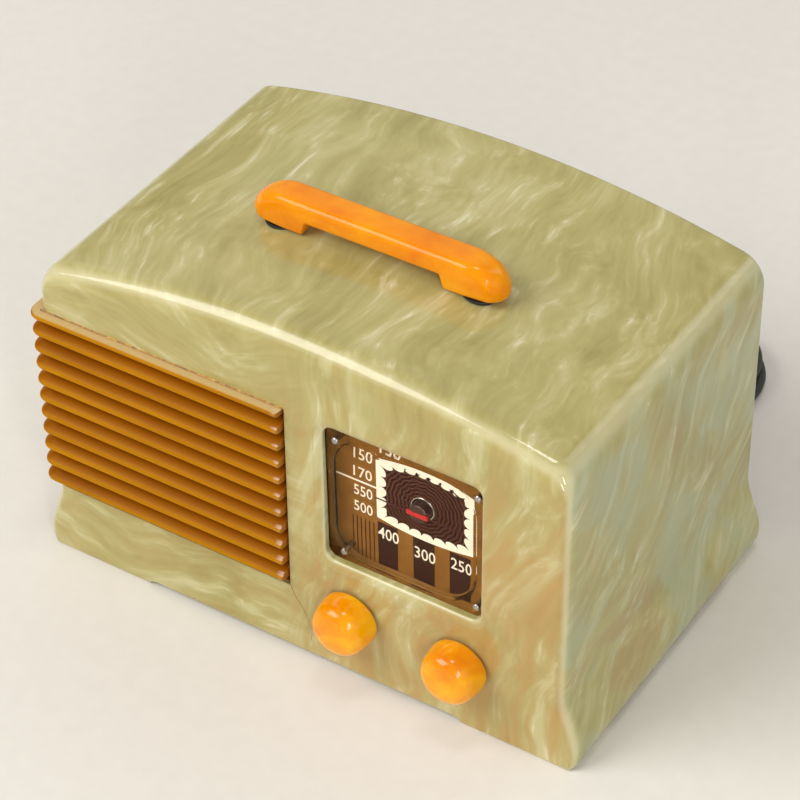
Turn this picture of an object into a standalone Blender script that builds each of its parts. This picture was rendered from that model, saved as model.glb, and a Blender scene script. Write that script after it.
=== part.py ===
# A table radio: a one-piece cast cabinet with a louvred grille, a dial window, two knobs and a handle.
# Sizes are in millimetres and are scaled to metres as each piece is made.
# X runs to the right seen from the front, Y to the back and Z up; the radio stands on Z = 0.
import math

import bmesh
import bpy
from mathutils import Matrix, Vector

millimetre = 0.001
gap = 0.3

# Cabinet
wall_half = 109.0
wall = 5.0
flare_out, flare_low, flare_high = 6.3, 8.0, 33.0
front_foot, front_lean = -63.4, 0.017
back_face = 75.7
crown_top, crown_radius, shoulder = 144.9, 440.0, 12.0
floor_bottom, floor_top = 2.6, 8.0
side_arch_top = 2.1
foot_x, foot_y = (71.0, 65.0), (-40.0, 52.0)
boss_x, boss_z, boss_radius = 98.8, (18.0, 110.0), 6.2
rebate_y, rebate_depth = 72.6, 2.8
vent_half, vent_high, vent_rows = 60.0, 5.0, (27.0, 92.0, 104.0)

# Grille
grille_right, grille_low, grille_high, grille_left_end = -3.6, 31.5, 113.3, -17.0
fin_first, fin_pitch, fin_count, fin_reach = 104.4, 7.55, 10, 3.6
web_front, web_back, flange_back = -3.0, -5.4, -7.4

# Dial
window_x, window_z, window_corner, lip_deep, lip_wide = (11.3, 74.8), (51.5, 111.6), 6.5, 2.0, 4.4
dial_x, dial_z = 47.2, 85.4
plate_x, plate_z = (8.0, 78.4), (48.2, 115.0)
pan_x, pan_z, pan_corner, pan_skin = (13.4, 71.8), (54.2, 109.0), 14.0, 1.2
lens_pocket_y, lens_y, lens_thick, pan_face_y = -58.9, -58.8, 1.3, -61.0
dial_plate_y, dial_plate_thick = -53.2, 0.8
rivet_spots = ((15.6, 105.6), (17.8, 55.4), (71.8, 55.6), (72.4, 105.8))
pointer_y, pointer_half = (-57.4, -56.8), 17.0
bracket_y, bracket_thick = -51.3, 1.0
lamp_x, lamp_y, lamp_z = 25.0, -45.6, 112.4

# Controls
knob_z, volume_x, tuning_x = 29.8, 22.7, 67.9
knob_base, knob_front, knob_rim = -63.9, -76.5, 11.4
shaft_radius, shaft_front = 3.0, -72.6
drum_turn_radius, spool_turn_radius, dial_cord_radius, dial_cord_y = 24.0, 4.0, 0.5, -47.0
gang_half, gang_front, gang_back, gang_top, gang_floor = 20.0, -40.0, 3.4, 107.0, 61.0
rotor_front, section_starts = -54.9, (-36.1, -16.6)
plate_thick, plate_step, rotor_radius = 1.0, 6.0, 17.0

# Handle
handle_y, handle_foot_x, handle_half_length, handle_half_width = -4.7, 40.5, 51.4, 6.6
handle_foot_z, handle_under_z, handle_top_z = 144.4, 149.2, 157.8
handle_end, handle_end_drop, handle_toe, handle_toe_rise, handle_step = 14.0, 10.2, 3.7, 2.6, (27.2, 29.4)
washer_radius, washer_top, handle_screw_tip = 6.6, 144.2, 152.6

# Speaker
speaker_x, speaker_z, speaker_rim, speaker_front = -51.0, 72.0, 45.0, -52.0

# Chassis
chassis_half, chassis_front, chassis_step_y, chassis_step_x, chassis_back = 90.0, -46.0, -22.0, 2.0, 66.0
chassis_top, chassis_bottom, sheet = 45.0, 8.3, 1.2
chassis_screw_x, chassis_screw_y = 80.0, 30.0
tube_places = ((-70.0, 22.0), (-34.0, 36.0), (6.0, 26.0), (40.0, 34.0), (74.0, 42.0))

# Mains lead
cord_radius = 2.5
cord_exit_x, cord_exit_z, relief_tip = -86.0, 14.2, 96.5
hank_x, hank_y, hank_run, hank_half_turns = -2.7, 150.95, 98.8, 10
hank_inner, hank_pitch, hank_waist, waist_reach = 13.45, 6.2, 0.12, 20.0
hank_low, hank_high = 3.3, 8.9
cord_route = ((-86.0, 73.0, 14.2), (-86.0, 85.0, 14.2), (-86.0, 97.0, 14.1), (-84.1, 106.6, 12.6),
              (-78.7, 114.7, 9.3), (-70.6, 120.1, 5.6), (-61.0, 122.0, 3.5), (-57.4, 122.0, 3.3))
tail_route = ((-57.4, 176.8, 8.9), (-66.0, 176.8, 8.5), (-78.7, 174.6, 6.4), (-89.8, 168.1, 4.1),
              (-98.0, 158.3, 3.0), (-102.4, 146.2, 4.2), (-103.0, 139.8, 5.6), (-103.0, 131.5, 7.9),
              (-103.0, 124.0, 8.2))
plug_x, plug_y, plug_z = -103.0, 129.0, 8.2

# Colour, roughness and metallic value of each finish
finishes = {
    'pale_phenolic': ((0.52, 0.48, 0.27), 0.18, 0.0),
    'amber_phenolic': ((0.56, 0.25, 0.02), 0.2, 0.0),
    'orange_phenolic': ((0.83, 0.32, 0.01), 0.16, 0.0),
    'clear_plastic': ((0.85, 0.85, 0.8), 0.08, 0.0),
    'printed_card': ((0.2, 0.1, 0.03), 0.5, 0.0),
    'red_lacquer': ((0.6, 0.03, 0.03), 0.35, 0.0),
    'black_fibre': ((0.02, 0.02, 0.02), 0.6, 0.0),
    'plated_steel': ((0.5, 0.5, 0.48), 0.4, 1.0),
    'bright_brass': ((0.6, 0.5, 0.25), 0.3, 1.0),
    'sheet_aluminium': ((0.7, 0.7, 0.7), 0.4, 1.0),
    'speaker_cloth': ((0.16, 0.1, 0.04), 0.9, 0.0),
    'cone_paper': ((0.06, 0.05, 0.05), 0.9, 0.0),
    'iron_core': ((0.1, 0.1, 0.1), 0.6, 0.5),
    'brown_card': ((0.2, 0.12, 0.06), 0.8, 0.0),
    'brown_phenolic': ((0.06, 0.03, 0.02), 0.4, 0.0),
    'tube_glass': ((0.6, 0.62, 0.6), 0.05, 0.0),
    'linen_thread': ((0.3, 0.25, 0.15), 0.9, 0.0),
    'copper_wire': ((0.5, 0.2, 0.08), 0.4, 1.0),
    'dark_rubber': ((0.05, 0.055, 0.05), 0.6, 0.0),
}


def crown(x):
    return crown_top - crown_radius + math.sqrt(crown_radius ** 2 - x * x)


def front(z):
    return front_foot + front_lean * z


def arc(x, z, radius, start, end, steps):
    turns = [math.radians(start + (end - start) * k / steps) for k in range(steps + 1)]
    return [(x + radius * math.cos(t), z + radius * math.sin(t)) for t in turns]


def rounded_rect(x, z, radius, steps=5):
    points = []
    for cx, cz, start in ((x[1] - radius, z[1] - radius, 0), (x[0] + radius, z[1] - radius, 90),
                          (x[0] + radius, z[0] + radius, 180), (x[1] - radius, z[0] + radius, 270)):
        points += arc(cx, cz, radius, start, start + 90, steps)
    return points


def place(name, work):
    bmesh.ops.remove_doubles(work, verts=work.verts, dist=1e-4)
    bmesh.ops.dissolve_degenerate(work, edges=work.edges, dist=1e-4)
    bmesh.ops.recalc_face_normals(work, faces=work.faces)
    bmesh.ops.scale(work, verts=work.verts, vec=(millimetre,) * 3)
    mesh = bpy.data.meshes.new(name)
    work.to_mesh(mesh)
    work.free()
    piece = bpy.data.objects.new(name, mesh)
    bpy.context.scene.collection.objects.link(piece)
    return piece


def loft(name, rings, closed=False):
    work = bmesh.new()
    loops = [[work.verts.new(p) for p in ring] for ring in rings]
    pairs = list(zip(loops, loops[1:]))
    if closed:
        pairs.append((loops[-1], loops[0]))
    else:
        work.faces.new(loops[0])
        work.faces.new(loops[-1])
    for a, b in pairs:
        for j in range(len(a)):
            k = (j + 1) % len(a)
            work.faces.new((a[j], a[k], b[k], b[j]))
    return place(name, work)


def boxes(name, spans):
    work = bmesh.new()
    for x, y, z in spans:
        size = Matrix.Diagonal((x[1] - x[0], y[1] - y[0], z[1] - z[0], 1.0))
        middle = Matrix.Translation(((x[0] + x[1]) / 2, (y[0] + y[1]) / 2, (z[0] + z[1]) / 2))
        bmesh.ops.create_cube(work, size=1.0, matrix=middle @ size)
    return place(name, work)


def box(name, x, y, z):
    return boxes(name, [(x, y, z)])


def turned(name, profile, at, axis, steps=24):
    # the profile is (radius, distance along the axis); it starts and ends on the axis, or closes on itself
    way = {'x': Vector((1, 0, 0)), 'y': Vector((0, 1, 0)), 'z': Vector((0, 0, 1))}[axis]
    out = {'x': Vector((0, 0, 1)), 'y': Vector((0, 0, 1)), 'z': Vector((1, 0, 0))}[axis]
    work = bmesh.new()
    verts = [work.verts.new(Vector(at) + out * r + way * d) for r, d in profile]
    pairs = list(zip(profile, profile[1:] + profile[:1], verts, verts[1:] + verts[:1]))
    edges = [work.edges.new((a, b)) for p, q, a, b in pairs if p[0] or q[0]]
    bmesh.ops.spin(work, geom=verts + edges, cent=at, axis=way, angle=2 * math.pi, steps=steps,
                   use_merge=True)
    return place(name, work)


def rod(name, at, axis, radius, span, steps=20):
    return turned(name, [(0, span[0]), (radius, span[0]), (radius, span[1]), (0, span[1])], at, axis, steps)


def cord(name, points, radius, rings):
    curve = bpy.data.curves.new(name, 'CURVE')
    curve.dimensions = '3D'
    curve.bevel_depth = radius * millimetre
    curve.bevel_resolution = rings
    curve.render_resolution_u = 0
    curve.use_fill_caps = True
    spline = curve.splines.new('POLY')
    spline.points.add(len(points) - 1)
    for spot, p in zip(spline.points, points):
        spot.co = (*(Vector(p) * millimetre), 1.0)
    piece = bpy.data.objects.new(name, curve)
    bpy.context.scene.collection.objects.link(piece)
    return piece


def combine(target, tool, operation):
    step = target.modifiers.new(operation.lower(), 'BOOLEAN')
    step.operation, step.solver, step.object = operation, 'EXACT', tool
    with bpy.context.temp_override(object=target, active_object=target):
        bpy.ops.object.modifier_apply(modifier=step.name)
    bpy.data.objects.remove(tool)


def cut(target, tool):
    combine(target, tool, 'DIFFERENCE')


def join(target, tool):
    combine(target, tool, 'UNION')


def dress(piece, finish, origin=(0.0, 0.0, 0.0)):
    # gives a piece its finish, and its origin on the axis that it turns about or is made round
    material = bpy.data.materials.get(finish)
    if material is None:
        material = bpy.data.materials.new(finish)
        material.use_nodes = True
        surface = material.node_tree.nodes['Principled BSDF']
        colour, roughness, metallic = finishes[finish]
        surface.inputs['Base Color'].default_value = (*colour, 1.0)
        surface.inputs['Roughness'].default_value = roughness
        surface.inputs['Metallic'].default_value = metallic
    piece.data.materials.append(material)
    spot = Vector(origin) * millimetre
    piece.data.transform(Matrix.Translation(-spot))
    piece.location = spot
    piece.parent = bpy.data.objects['radio']
    if piece.type == 'MESH':
        piece.data.shade_smooth()
        piece.data.set_sharp_from_angle(angle=math.radians(35))


def shoulder_centre():
    reach = crown_radius - shoulder
    x = wall_half - shoulder
    return x, crown_top - crown_radius + math.sqrt(reach ** 2 - x * x), math.degrees(math.asin(x / reach))


def crown_half(depth, steps):
    # from the shoulder's end to the middle of the top
    lean = shoulder_centre()[2]
    points = arc(0, crown_top - crown_radius, crown_radius - depth, 90 - lean, 90, steps)
    return points[1:]


def outline():
    # the cabinet seen from the front, as x, z and the outward normal, once round from the bottom middle
    x, z, lean = shoulder_centre()
    toe, toe_steps, flare_steps = 4.0, 5, 8
    tip = wall_half + flare_out - toe
    half = [(0.0, 0.0), (wall_half / 2, 0.0)]
    half += [(tip + toe * math.sin(t), flare_low - flare_low * math.cos(t))
             for t in (math.pi / 2 * k / toe_steps for k in range(toe_steps + 1))]
    for k in range(1, flare_steps + 1):
        fall = 1 - k / flare_steps
        half.append((wall_half + flare_out * fall * fall * (3 - 2 * fall),
                     flare_high - (flare_high - flare_low) * fall))
    half += arc(x, z, shoulder, 0, 90 - lean, 6) + crown_half(0.0, 8)
    whole = half + [(-px, pz) for px, pz in reversed(half[1:-1])]
    result = []
    for before, (px, pz), after in zip(whole[-1:] + whole[:-1], whole, whole[1:] + whole[:1]):
        along = Vector((after[0] - before[0], after[1] - before[1])).normalized()
        result.append((px, pz, along.y, -along.x))
    return result


def inner_outline(depth, low):
    # a line the given depth inside the walls, straight down to the floor
    x, z, lean = shoulder_centre()
    corner = 3.0
    right = arc(wall_half - depth - corner, low + corner, corner, -90, 0, 3)
    right += arc(x, z, shoulder - depth, 0, 90 - lean, 4) + crown_half(depth, 6)
    return right + [(-px, pz) for px, pz in reversed(right[:-1])]


def edge_radius(up):
    # the front edge is rounder along the top than down the sides, and least along the base
    beside, above, below = 4.5, 8.0, 1.5
    return beside + (above - beside) * up if up > 0 else beside + (beside - below) * up


def make_cabinet():
    line = outline()
    rings = []
    steps = 5
    for k in range(steps + 1):
        turn = math.pi / 2 * k / steps
        ring = []
        for x, z, nx, nz in line:
            inset = edge_radius(nz) * (1 - math.sin(turn))
            depth = edge_radius(nz) * (1 - math.cos(turn))
            ring.append((x - nx * inset, front(z - nz * inset) + depth, z - nz * inset))
        rings.append(ring)
    for inset, depth in ((0.0, 1.8), (0.5, 0.5), (1.8, 0.0)):
        rings.append([(x - nx * inset, back_face - depth, z - nz * inset) for x, z, nx, nz in line])
    cabinet = loft('cabinet', rings)
    before, beyond, outside, inside_front = front_foot - 12, back_face + 5, wall_half + 21, -52.0
    hollow = inner_outline(wall, floor_top)
    cut(cabinet, loft('hollow', [[(x, front(z) + wall, z) for x, z in hollow],
                                 [(x, beyond, z) for x, z in hollow]]))
    rebate = inner_outline(rebate_depth, floor_top + rebate_depth - wall)
    cut(cabinet, loft('rebate', [[(x, y, z) for x, z in rebate] for y in (rebate_y, beyond)]))
    for x in (-boss_x, boss_x):
        for z in boss_z:
            join(cabinet, rod('boss', (x, 0, z), 'y', boss_radius, (52.0, rebate_y - 0.1), 16))
            cut(cabinet, rod('boss_hole', (x, 0, z), 'y', 1.7, (60.0, beyond), 10))
    corner = 0.8
    opening = arc(grille_right - corner, grille_high - corner, corner, 0, 90, 2)
    opening += [(-outside, grille_high), (-outside, grille_low), (grille_right, grille_low)]
    cut(cabinet, loft('front_opening', [[(x, y, z) for x, z in opening] for y in (before, inside_front)]))
    cut(cabinet, box('side_opening', (-outside, 2 * wall - wall_half), (before, grille_left_end),
                     (grille_low, grille_high)))
    cut(cabinet, dial_window())
    cut(cabinet, lens_pocket())
    for x in (volume_x, tuning_x):
        cut(cabinet, rod('shaft_hole', (x, 0, knob_z), 'y', 5.2, (before, inside_front)))
    for side in (-1, 1):
        at = (side * handle_foot_x, handle_y, 0)
        cut(cabinet, rod('handle_hole', at, 'z', 2.5, (crown_top - 25, crown_top + 5), 14))
        at = (side * chassis_screw_x, chassis_screw_y, 0)
        cut(cabinet, rod('screw_hole', at, 'z', 2.4, (-2.0, floor_top + 4), 14))
    wide, narrow = foot_x
    arch = ((-wide, -1.0), (-wide + 4, floor_bottom - 0.5), (-narrow, floor_bottom), (narrow, floor_bottom),
            (wide - 4, floor_bottom - 0.5), (wide, -1.0))
    cut(cabinet, loft('front_arch', [[(x, y, z) for x, z in arch] for y in (before, beyond)]))
    near, far = foot_y
    arch = ((near, -1.0), (near + 4, side_arch_top - 0.4), (near + 6, side_arch_top),
            (far - 6, side_arch_top), (far - 4, side_arch_top - 0.4), (far, -1.0))
    cut(cabinet, loft('side_arch', [[(x, y, z) for y, z in arch] for x in (-outside, outside)]))
    dress(cabinet, 'pale_phenolic')


def dial_window():
    # the window's mouth opens through a quarter of an oval
    rings = []
    for depth in (-4.0, 0.06, 0.2, 0.45, 0.8, 1.3, lip_deep, 9.0):
        left = 1 - min(max(depth, 0.06), lip_deep) / lip_deep
        grow = lip_wide * (1 - math.sqrt(1 - left ** 2))
        ring = rounded_rect((window_x[0] - grow, window_x[1] + grow),
                            (window_z[0] - grow, window_z[1] + grow), window_corner + grow)
        rings.append([(x, front(z) + depth, z) for x, z in ring])
    return loft('dial_window', rings)


def lens_pocket():
    # the lens's flange lies in a pocket behind the window, so that its pan comes near the front
    play = 0.4
    ring = rounded_rect((plate_x[0] - play, plate_x[1] + play), (plate_z[0] - play, plate_z[1] + play), 3.4)
    return loft('lens_pocket', [[(x, y, z) for x, z in ring] for y in (lens_pocket_y, lens_pocket_y + 8)])


def grille_line(out, z):
    # along the grille at one depth: from the right end, round the corner and back along the left side
    corner = 2.0
    y = front(z)
    points = [(x, y - out) for x in (grille_right - 0.5, -35.0, -70.0, -100.0)]
    radius = max(corner + out, 0.0)
    reach = corner if radius else -out
    points += arc(reach - wall_half, y + reach, radius, 270, 180, 4)
    return points + [(-wall_half - out, -40.0), (-wall_half - out, grille_left_end - 0.5)]


def make_grille():
    top, low = grille_high - 0.4, grille_low + 0.4
    flange_low, flange_high = grille_low - 3.5, grille_high + 3.3
    profile = [(flange_back, flange_low), (flange_back, flange_high), (web_back, flange_high),
               (web_back, top)]
    profile += [(fin_reach - 0.8, top), (fin_reach, top - 0.5), (fin_reach + 0.2, top - 1.3),
                (fin_reach - 0.3, top - 2.0), (web_front, top - 2.6)]
    tips = [fin_first - fin_pitch * k for k in range(fin_count)]
    for tip in tips:
        profile += [(web_front, tip + 4.2), (fin_reach - 1.0, tip + 1.3), (fin_reach - 0.1, tip + 0.5),
                    (fin_reach, tip - 0.4), (fin_reach - 0.7, tip - 0.9), (web_front, tip - 1.3)]
    profile += [(web_front, low + 1.3), (-0.8, low + 0.7), (-0.8, low), (web_back, low),
                (web_back, flange_low)]
    lines = [[(x, y, z) for x, y in grille_line(out, z)] for out, z in profile]
    grille = loft('grille', list(zip(*lines)))
    slots = []
    thirds = ((-97.0, -68.0), (-64.0, -38.0), (-34.0, -8.0))
    for k, tip in enumerate(tips):
        z = (tip + 4.4, tip + 6.0 if k else top - 2.8)
        slots += [(x, (front_foot + 1.4, -48.0), z) for x in thirds]
        slots.append(((-wall_half - 3.0, -95.0), (-49.0, grille_left_end - 4.0), z))
    cut(grille, boxes('slots', slots))
    dress(grille, 'amber_phenolic')


def make_grille_cloth():
    lines = []
    face, rear, low, high = flange_back - 0.6, flange_back - 1.4, grille_low - 4.5, grille_high + 3.7
    for out, z in ((face, low), (face, high), (rear, high), (rear, low)):
        y = front(z) - out
        lines.append([(-6.0, y, z), (-wall_half - out, y, z), (-wall_half - out, grille_left_end - 2, z)])
    dress(loft('grille_cloth', list(zip(*lines))), 'speaker_cloth')


def make_speaker():
    at = (speaker_x, 0, speaker_z)
    y = speaker_front
    basket = [(38.0, y), (speaker_rim, y), (speaker_rim, y + 1.4), (39.4, y + 1.4), (36.5, y + 6),
              (22.0, y + 19), (19.0, y + 22), (10.5, y + 22), (10.5, y + 20.8), (18.2, y + 20.8),
              (21.0, y + 18), (35.6, y + 5), (38.0, y + 1)]
    frame = turned('speaker_frame', basket, at, 'y', 16)
    for x, z in arc(speaker_x, speaker_z, 28.0, 45, 315, 3):
        cut(frame, rod('basket_window', (x, 0, z), 'y', 6.0, (y + 5.5, y + 20.2), 10))
    dress(frame, 'plated_steel', at)
    paper = [(0, y + 13.4), (4.5, y + 14), (8.2, y + 15.7), (8.6, y + 16), (34.0, y + 3.6), (37.2, y + 0.4),
             (37.2, y + 1.1), (34.2, y + 4.3), (8.8, y + 16.8), (8.2, y + 20), (0, y + 20)]
    dress(turned('speaker_cone', paper, at, 'y'), 'cone_paper', at)
    pot = 19.5
    magnet = turned('speaker_magnet', [(0, y + 22.5), (pot - 1.5, y + 22.5), (pot, y + 24), (pot, y + 46),
                                       (pot - 2.5, y + 49.5), (0, y + 49.5)], at, 'y', 20)
    dress(magnet, 'iron_core', at)
    foot = speaker_z + pot + 0.9
    core = box('output_transformer', (speaker_x - 15, speaker_x + 15), (-24.0, -8.0), (foot, foot + 21.6))
    join(core, box('winding', (speaker_x - 10, speaker_x + 10), (-28.0, -4.0), (foot + 4, foot + 17.6)))
    dress(core, 'iron_core')


def handle_section(x):
    # a rounded bar section: the ends are round in plan, and the feet reach down to the washers
    far = abs(x)
    past = max(far - (handle_half_length - handle_half_width), 0.0)
    half = max(math.sqrt(max(handle_half_width ** 2 - past * past, 0.0)), 1.2)
    drop = max(far - (handle_half_length - handle_end), 0.0) / handle_end
    top = handle_top_z - handle_end_drop * (1 - math.sqrt(max(1 - drop * drop, 0.0)))
    inner, outer = handle_step
    lift = min(max((outer - far) / (outer - inner), 0.0), 1.0)
    low = handle_foot_z + (handle_under_z - handle_foot_z) * lift * lift * (3 - 2 * lift)
    tuck = max(far - (handle_half_length - handle_toe), 0.0) / handle_toe
    low += handle_toe_rise * (1 - math.sqrt(max(1 - tuck * tuck, 0.0)))
    upper = min(2.2, half * 0.6, (top - low) * 0.45)
    lower = min(1.5 + 0.9 * lift, half * 0.4, (top - low) * 0.3)
    ring = []
    corners = ((half - upper, top - upper, upper, 0), (upper - half, top - upper, upper, 90),
               (lower - half, low + lower, lower, 180), (half - lower, low + lower, lower, 270))
    for y, z, radius, start in corners:
        ring += [(x, handle_y + v, w) for v, w in arc(y, z, radius, start, start + 90, 3)]
    return ring


def make_handle():
    steps = 8
    left = [-handle_half_length + handle_half_width * (1 - math.cos(math.pi / 2 * k / steps))
            for k in range(steps + 1)]
    left += [-43.4, -41.6, -39.6, -37.4, -29.4, -28.9, -28.3, -27.7, -27.2, -14.0]
    handle = loft('handle', [handle_section(x) for x in left + [0.0] + [-x for x in reversed(left)]])
    for side in (-1, 1):
        at = (side * handle_foot_x, handle_y, 0)
        cut(handle, rod('bore', at, 'z', 2.3, (handle_foot_z - 5, handle_screw_tip + 0.4), 14))
    dress(handle, 'orange_phenolic')


def make_handle_fixings():
    bore, shank = 2.5, 2.0
    section = ((bore, None), (washer_radius - 0.2, None), (washer_radius + 0.2, washer_top - 0.3),
               (washer_radius, washer_top), (bore, washer_top))
    for name, side in (('left', -1), ('right', 1)):
        x = side * handle_foot_x
        at = (x, handle_y, 0)
        rings = []
        for radius, z in section:
            circle = arc(x, handle_y, radius, 0, 340, 17)
            rings.append([(px, py, crown(px) + 0.15 if z is None else z) for px, py in circle])
        dress(loft('handle_washer_' + name, rings, True), 'black_fibre', at)
        head, tip = crown(x) - wall - 4.1, handle_screw_tip
        profile = [(0, head), (4.4, head), (4.8, head + 0.8), (4.8, head + 2.8), (shank, head + 2.8),
                   (shank, tip - 0.6), (0, tip)]
        dress(turned('handle_screw_' + name, profile, at, 'z', 10), 'plated_steel', at)


def pan_ring(inset, y):
    ring = rounded_rect((pan_x[0] + inset, pan_x[1] - inset), (pan_z[0] + inset, pan_z[1] - inset),
                        pan_corner - inset, 6)
    return [(x, y, z) for x, z in ring]


def make_dial_face():
    hub = (dial_x, 0, dial_z)
    flange = rounded_rect(plate_x, plate_z, 3.0, 3)
    lens = loft('dial_lens', [[(x, y, z) for x, z in flange] for y in (lens_y, lens_y + lens_thick)])
    face = pan_face_y
    join(lens, loft('pan', [pan_ring(0, lens_y + 0.8), pan_ring(0, face + 1.0), pan_ring(0.35, face + 0.3),
                            pan_ring(pan_skin, face)]))
    cut(lens, loft('pan_hollow', [pan_ring(pan_skin, lens_y + 3), pan_ring(pan_skin, face + 1.7),
                                  pan_ring(pan_skin + 0.4, face + pan_skin)]))
    plate = box('dial_plate', plate_x, (dial_plate_y, dial_plate_y + dial_plate_thick), plate_z)
    through = (lens_y - 4, dial_plate_y + 5)
    cut(plate, rod('hub_hole', hub, 'y', 4.2, through))
    head, tail = lens_y - gap, dial_plate_y + dial_plate_thick + gap
    for n, (x, z) in enumerate(rivet_spots, 1):
        for piece in (lens, plate):
            cut(piece, rod('rivet_hole', (x, 0, z), 'y', 1.25, through, 10))
        profile = [(0, head - 0.8), (1.0, head - 0.6), (1.5, head), (1.0, head), (1.0, tail), (1.6, tail),
                   (1.6, tail + 0.4), (0, tail + 0.4)]
        dress(turned('lens_rivet_%d' % n, profile, (x, 0, z), 'y', 8), 'bright_brass', (x, 0, z))
    dress(lens, 'clear_plastic')
    dress(plate, 'printed_card')


def make_dial_bracket():
    foot = chassis_top + 0.4
    back, rise = bracket_y + bracket_thick, 112.0
    left, right, toe = 19.5, 76.0, -41.5
    section = ((bracket_y, foot), (bracket_y, rise), (back, rise), (back, foot + sheet), (toe, foot + sheet),
               (toe, foot))
    bracket = loft('dial_bracket', [[(x, y, z) for y, z in section] for x in (left, right)])
    cut(bracket, rod('shaft_window', (dial_x, 0, dial_z), 'y', 7.0, (-60.0, -40.0)))
    cut(bracket, box('cord_notch', (46.0, 72.5), (back + gap, -38.0), (foot - 1, foot + 3)))
    join(bracket, box('lamp_arm', (left, lamp_x + 5), (bracket_y + 0.5, lamp_y + 4.6), (rise - 1, lamp_z)))
    join(bracket, rod('lamp_socket', (lamp_x, lamp_y, 0), 'z', 5.0, (lamp_z - 0.6, lamp_z + 7.6), 16))
    dress(bracket, 'plated_steel')
    base = lamp_z + 8.0
    glass = [(0, base), (4.2, base), (4.2, base + 2.6), (5.4, base + 5.6), (5.2, base + 9.1),
             (3.4, base + 11.6), (0, base + 12.4)]
    at = (lamp_x, lamp_y, 0)
    dress(turned('lamp_bulb', glass, at, 'z', 16), 'tube_glass', at)


def make_pointer():
    hub = (dial_x, 0, dial_z)
    arm = [(-pointer_half, 0.35), (-7.0, 0.9), (-6.0, 1.6), (6.0, 1.6), (7.0, 0.9), (pointer_half, 0.35)]
    shape = arm + [(x, -half) for x, half in reversed(arm)]
    pointer = loft('pointer', [[(dial_x + x, y, dial_z + z) for x, z in shape] for y in pointer_y])
    y = pointer_y[0]
    boss = [(0, y + 0.1), (3.3, y + 0.1), (3.7, y + 0.5), (3.7, y + 4.5), (0, y + 4.5)]
    join(pointer, turned('boss', boss, hub, 'y', 16))
    cut(pointer, rod('boss_bore', hub, 'y', shaft_radius + 0.2, (rotor_front - 0.4, y + 6), 16))
    dress(pointer, 'red_lacquer', hub)


def make_tuning_gang():
    hub = (dial_x, 0, dial_z)
    wide, foot = (dial_x - gang_half, dial_x + gang_half), chassis_top + 0.4
    metal = 1.4
    frame = box('gang_frame', wide, (gang_front, gang_front + metal), (foot, gang_top))
    join(frame, box('rear_plate', wide, (gang_back - metal, gang_back), (foot, gang_top)))
    join(frame, box('floor_plate', wide, (gang_front + 0.6, gang_back - 0.6),
                    (gang_floor, gang_floor + metal)))
    cut(frame, rod('bearing', hub, 'y', shaft_radius + gap, (gang_front - 5, gang_back + 5)))
    dress(frame, 'plated_steel')
    rotor = rod('gang_rotor', hub, 'y', shaft_radius, (rotor_front, gang_back + 2.6))
    vane = arc(0, 0, rotor_radius, 184, 356, 8) + [(2.2, 1.2), (-2.2, 1.2)]
    notch = arc(0, 0, shaft_radius + 2.2, 350, 190, 4)
    reach, top, bottom, bar_x, bar_z = 19.2, -0.9, -21.2, 17.4, -19.4
    plate = [(-reach, top), (-reach, bottom), (reach, bottom), (reach, top)] + notch
    bar_span = (gang_front + metal + 0.4, gang_back - metal - 0.4)
    bars = [rod('gang_stator', (dial_x + x, 0, dial_z + bar_z), 'y', 1.3, bar_span, 8)
            for x in (-bar_x, bar_x)]
    stator = bars[0]
    for start in section_starts:
        for k in range(3):
            y = start + plate_step * k
            ring = [[(dial_x + x, v, dial_z + z) for x, z in plate] for v in (y, y + plate_thick)]
            join(stator, loft('stator_plate', ring))
        for k in range(2):
            y = start + plate_step * (k + 0.5)
            ring = [[(dial_x + x, v, dial_z + z) for x, z in vane] for v in (y, y + plate_thick)]
            join(rotor, loft('rotor_plate', ring))
    join(stator, bars[1])
    dress(rotor, 'sheet_aluminium', hub)
    dress(stator, 'sheet_aluminium')
    groove, rim, y = drum_turn_radius - 0.9, drum_turn_radius + 1.6, dial_cord_y
    bore = shaft_radius + 0.25
    wheel = [(bore, y - 1.6), (rim, y - 1.6), (rim, y - 1.0), (groove, y - 0.4), (groove, y + 0.4),
             (rim, y + 1.0), (rim, y + 1.6), (7.0, y + 1.6), (7.0, y + 4.0), (bore, y + 4.0)]
    dress(turned('tuning_drum', wheel, hub, 'y', 20), 'bright_brass', hub)


def make_knobs():
    depth = knob_base - knob_front
    # across as a share of the rim's radius, and out as a share of the depth
    shape = ((0.0, 0.0), (0.94, 0.0), (1.0, 0.056), (1.0, 0.2), (0.974, 0.405), (0.939, 0.61), (0.868, 0.77),
             (0.728, 0.889), (0.526, 0.96), (0.263, 0.992), (0.0, 1.0))
    profile = [(knob_rim * across, knob_base - depth * out) for across, out in shape]
    for name, x in (('volume', volume_x), ('tuning', tuning_x)):
        at = (x, 0, knob_z)
        knob = turned(name + '_knob', profile, at, 'y', 26)
        cut(knob, rod('bore', at, 'y', shaft_radius + 0.2, (shaft_front - 0.4, knob_base + 3), 14))
        dress(knob, 'orange_phenolic', at)


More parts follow.
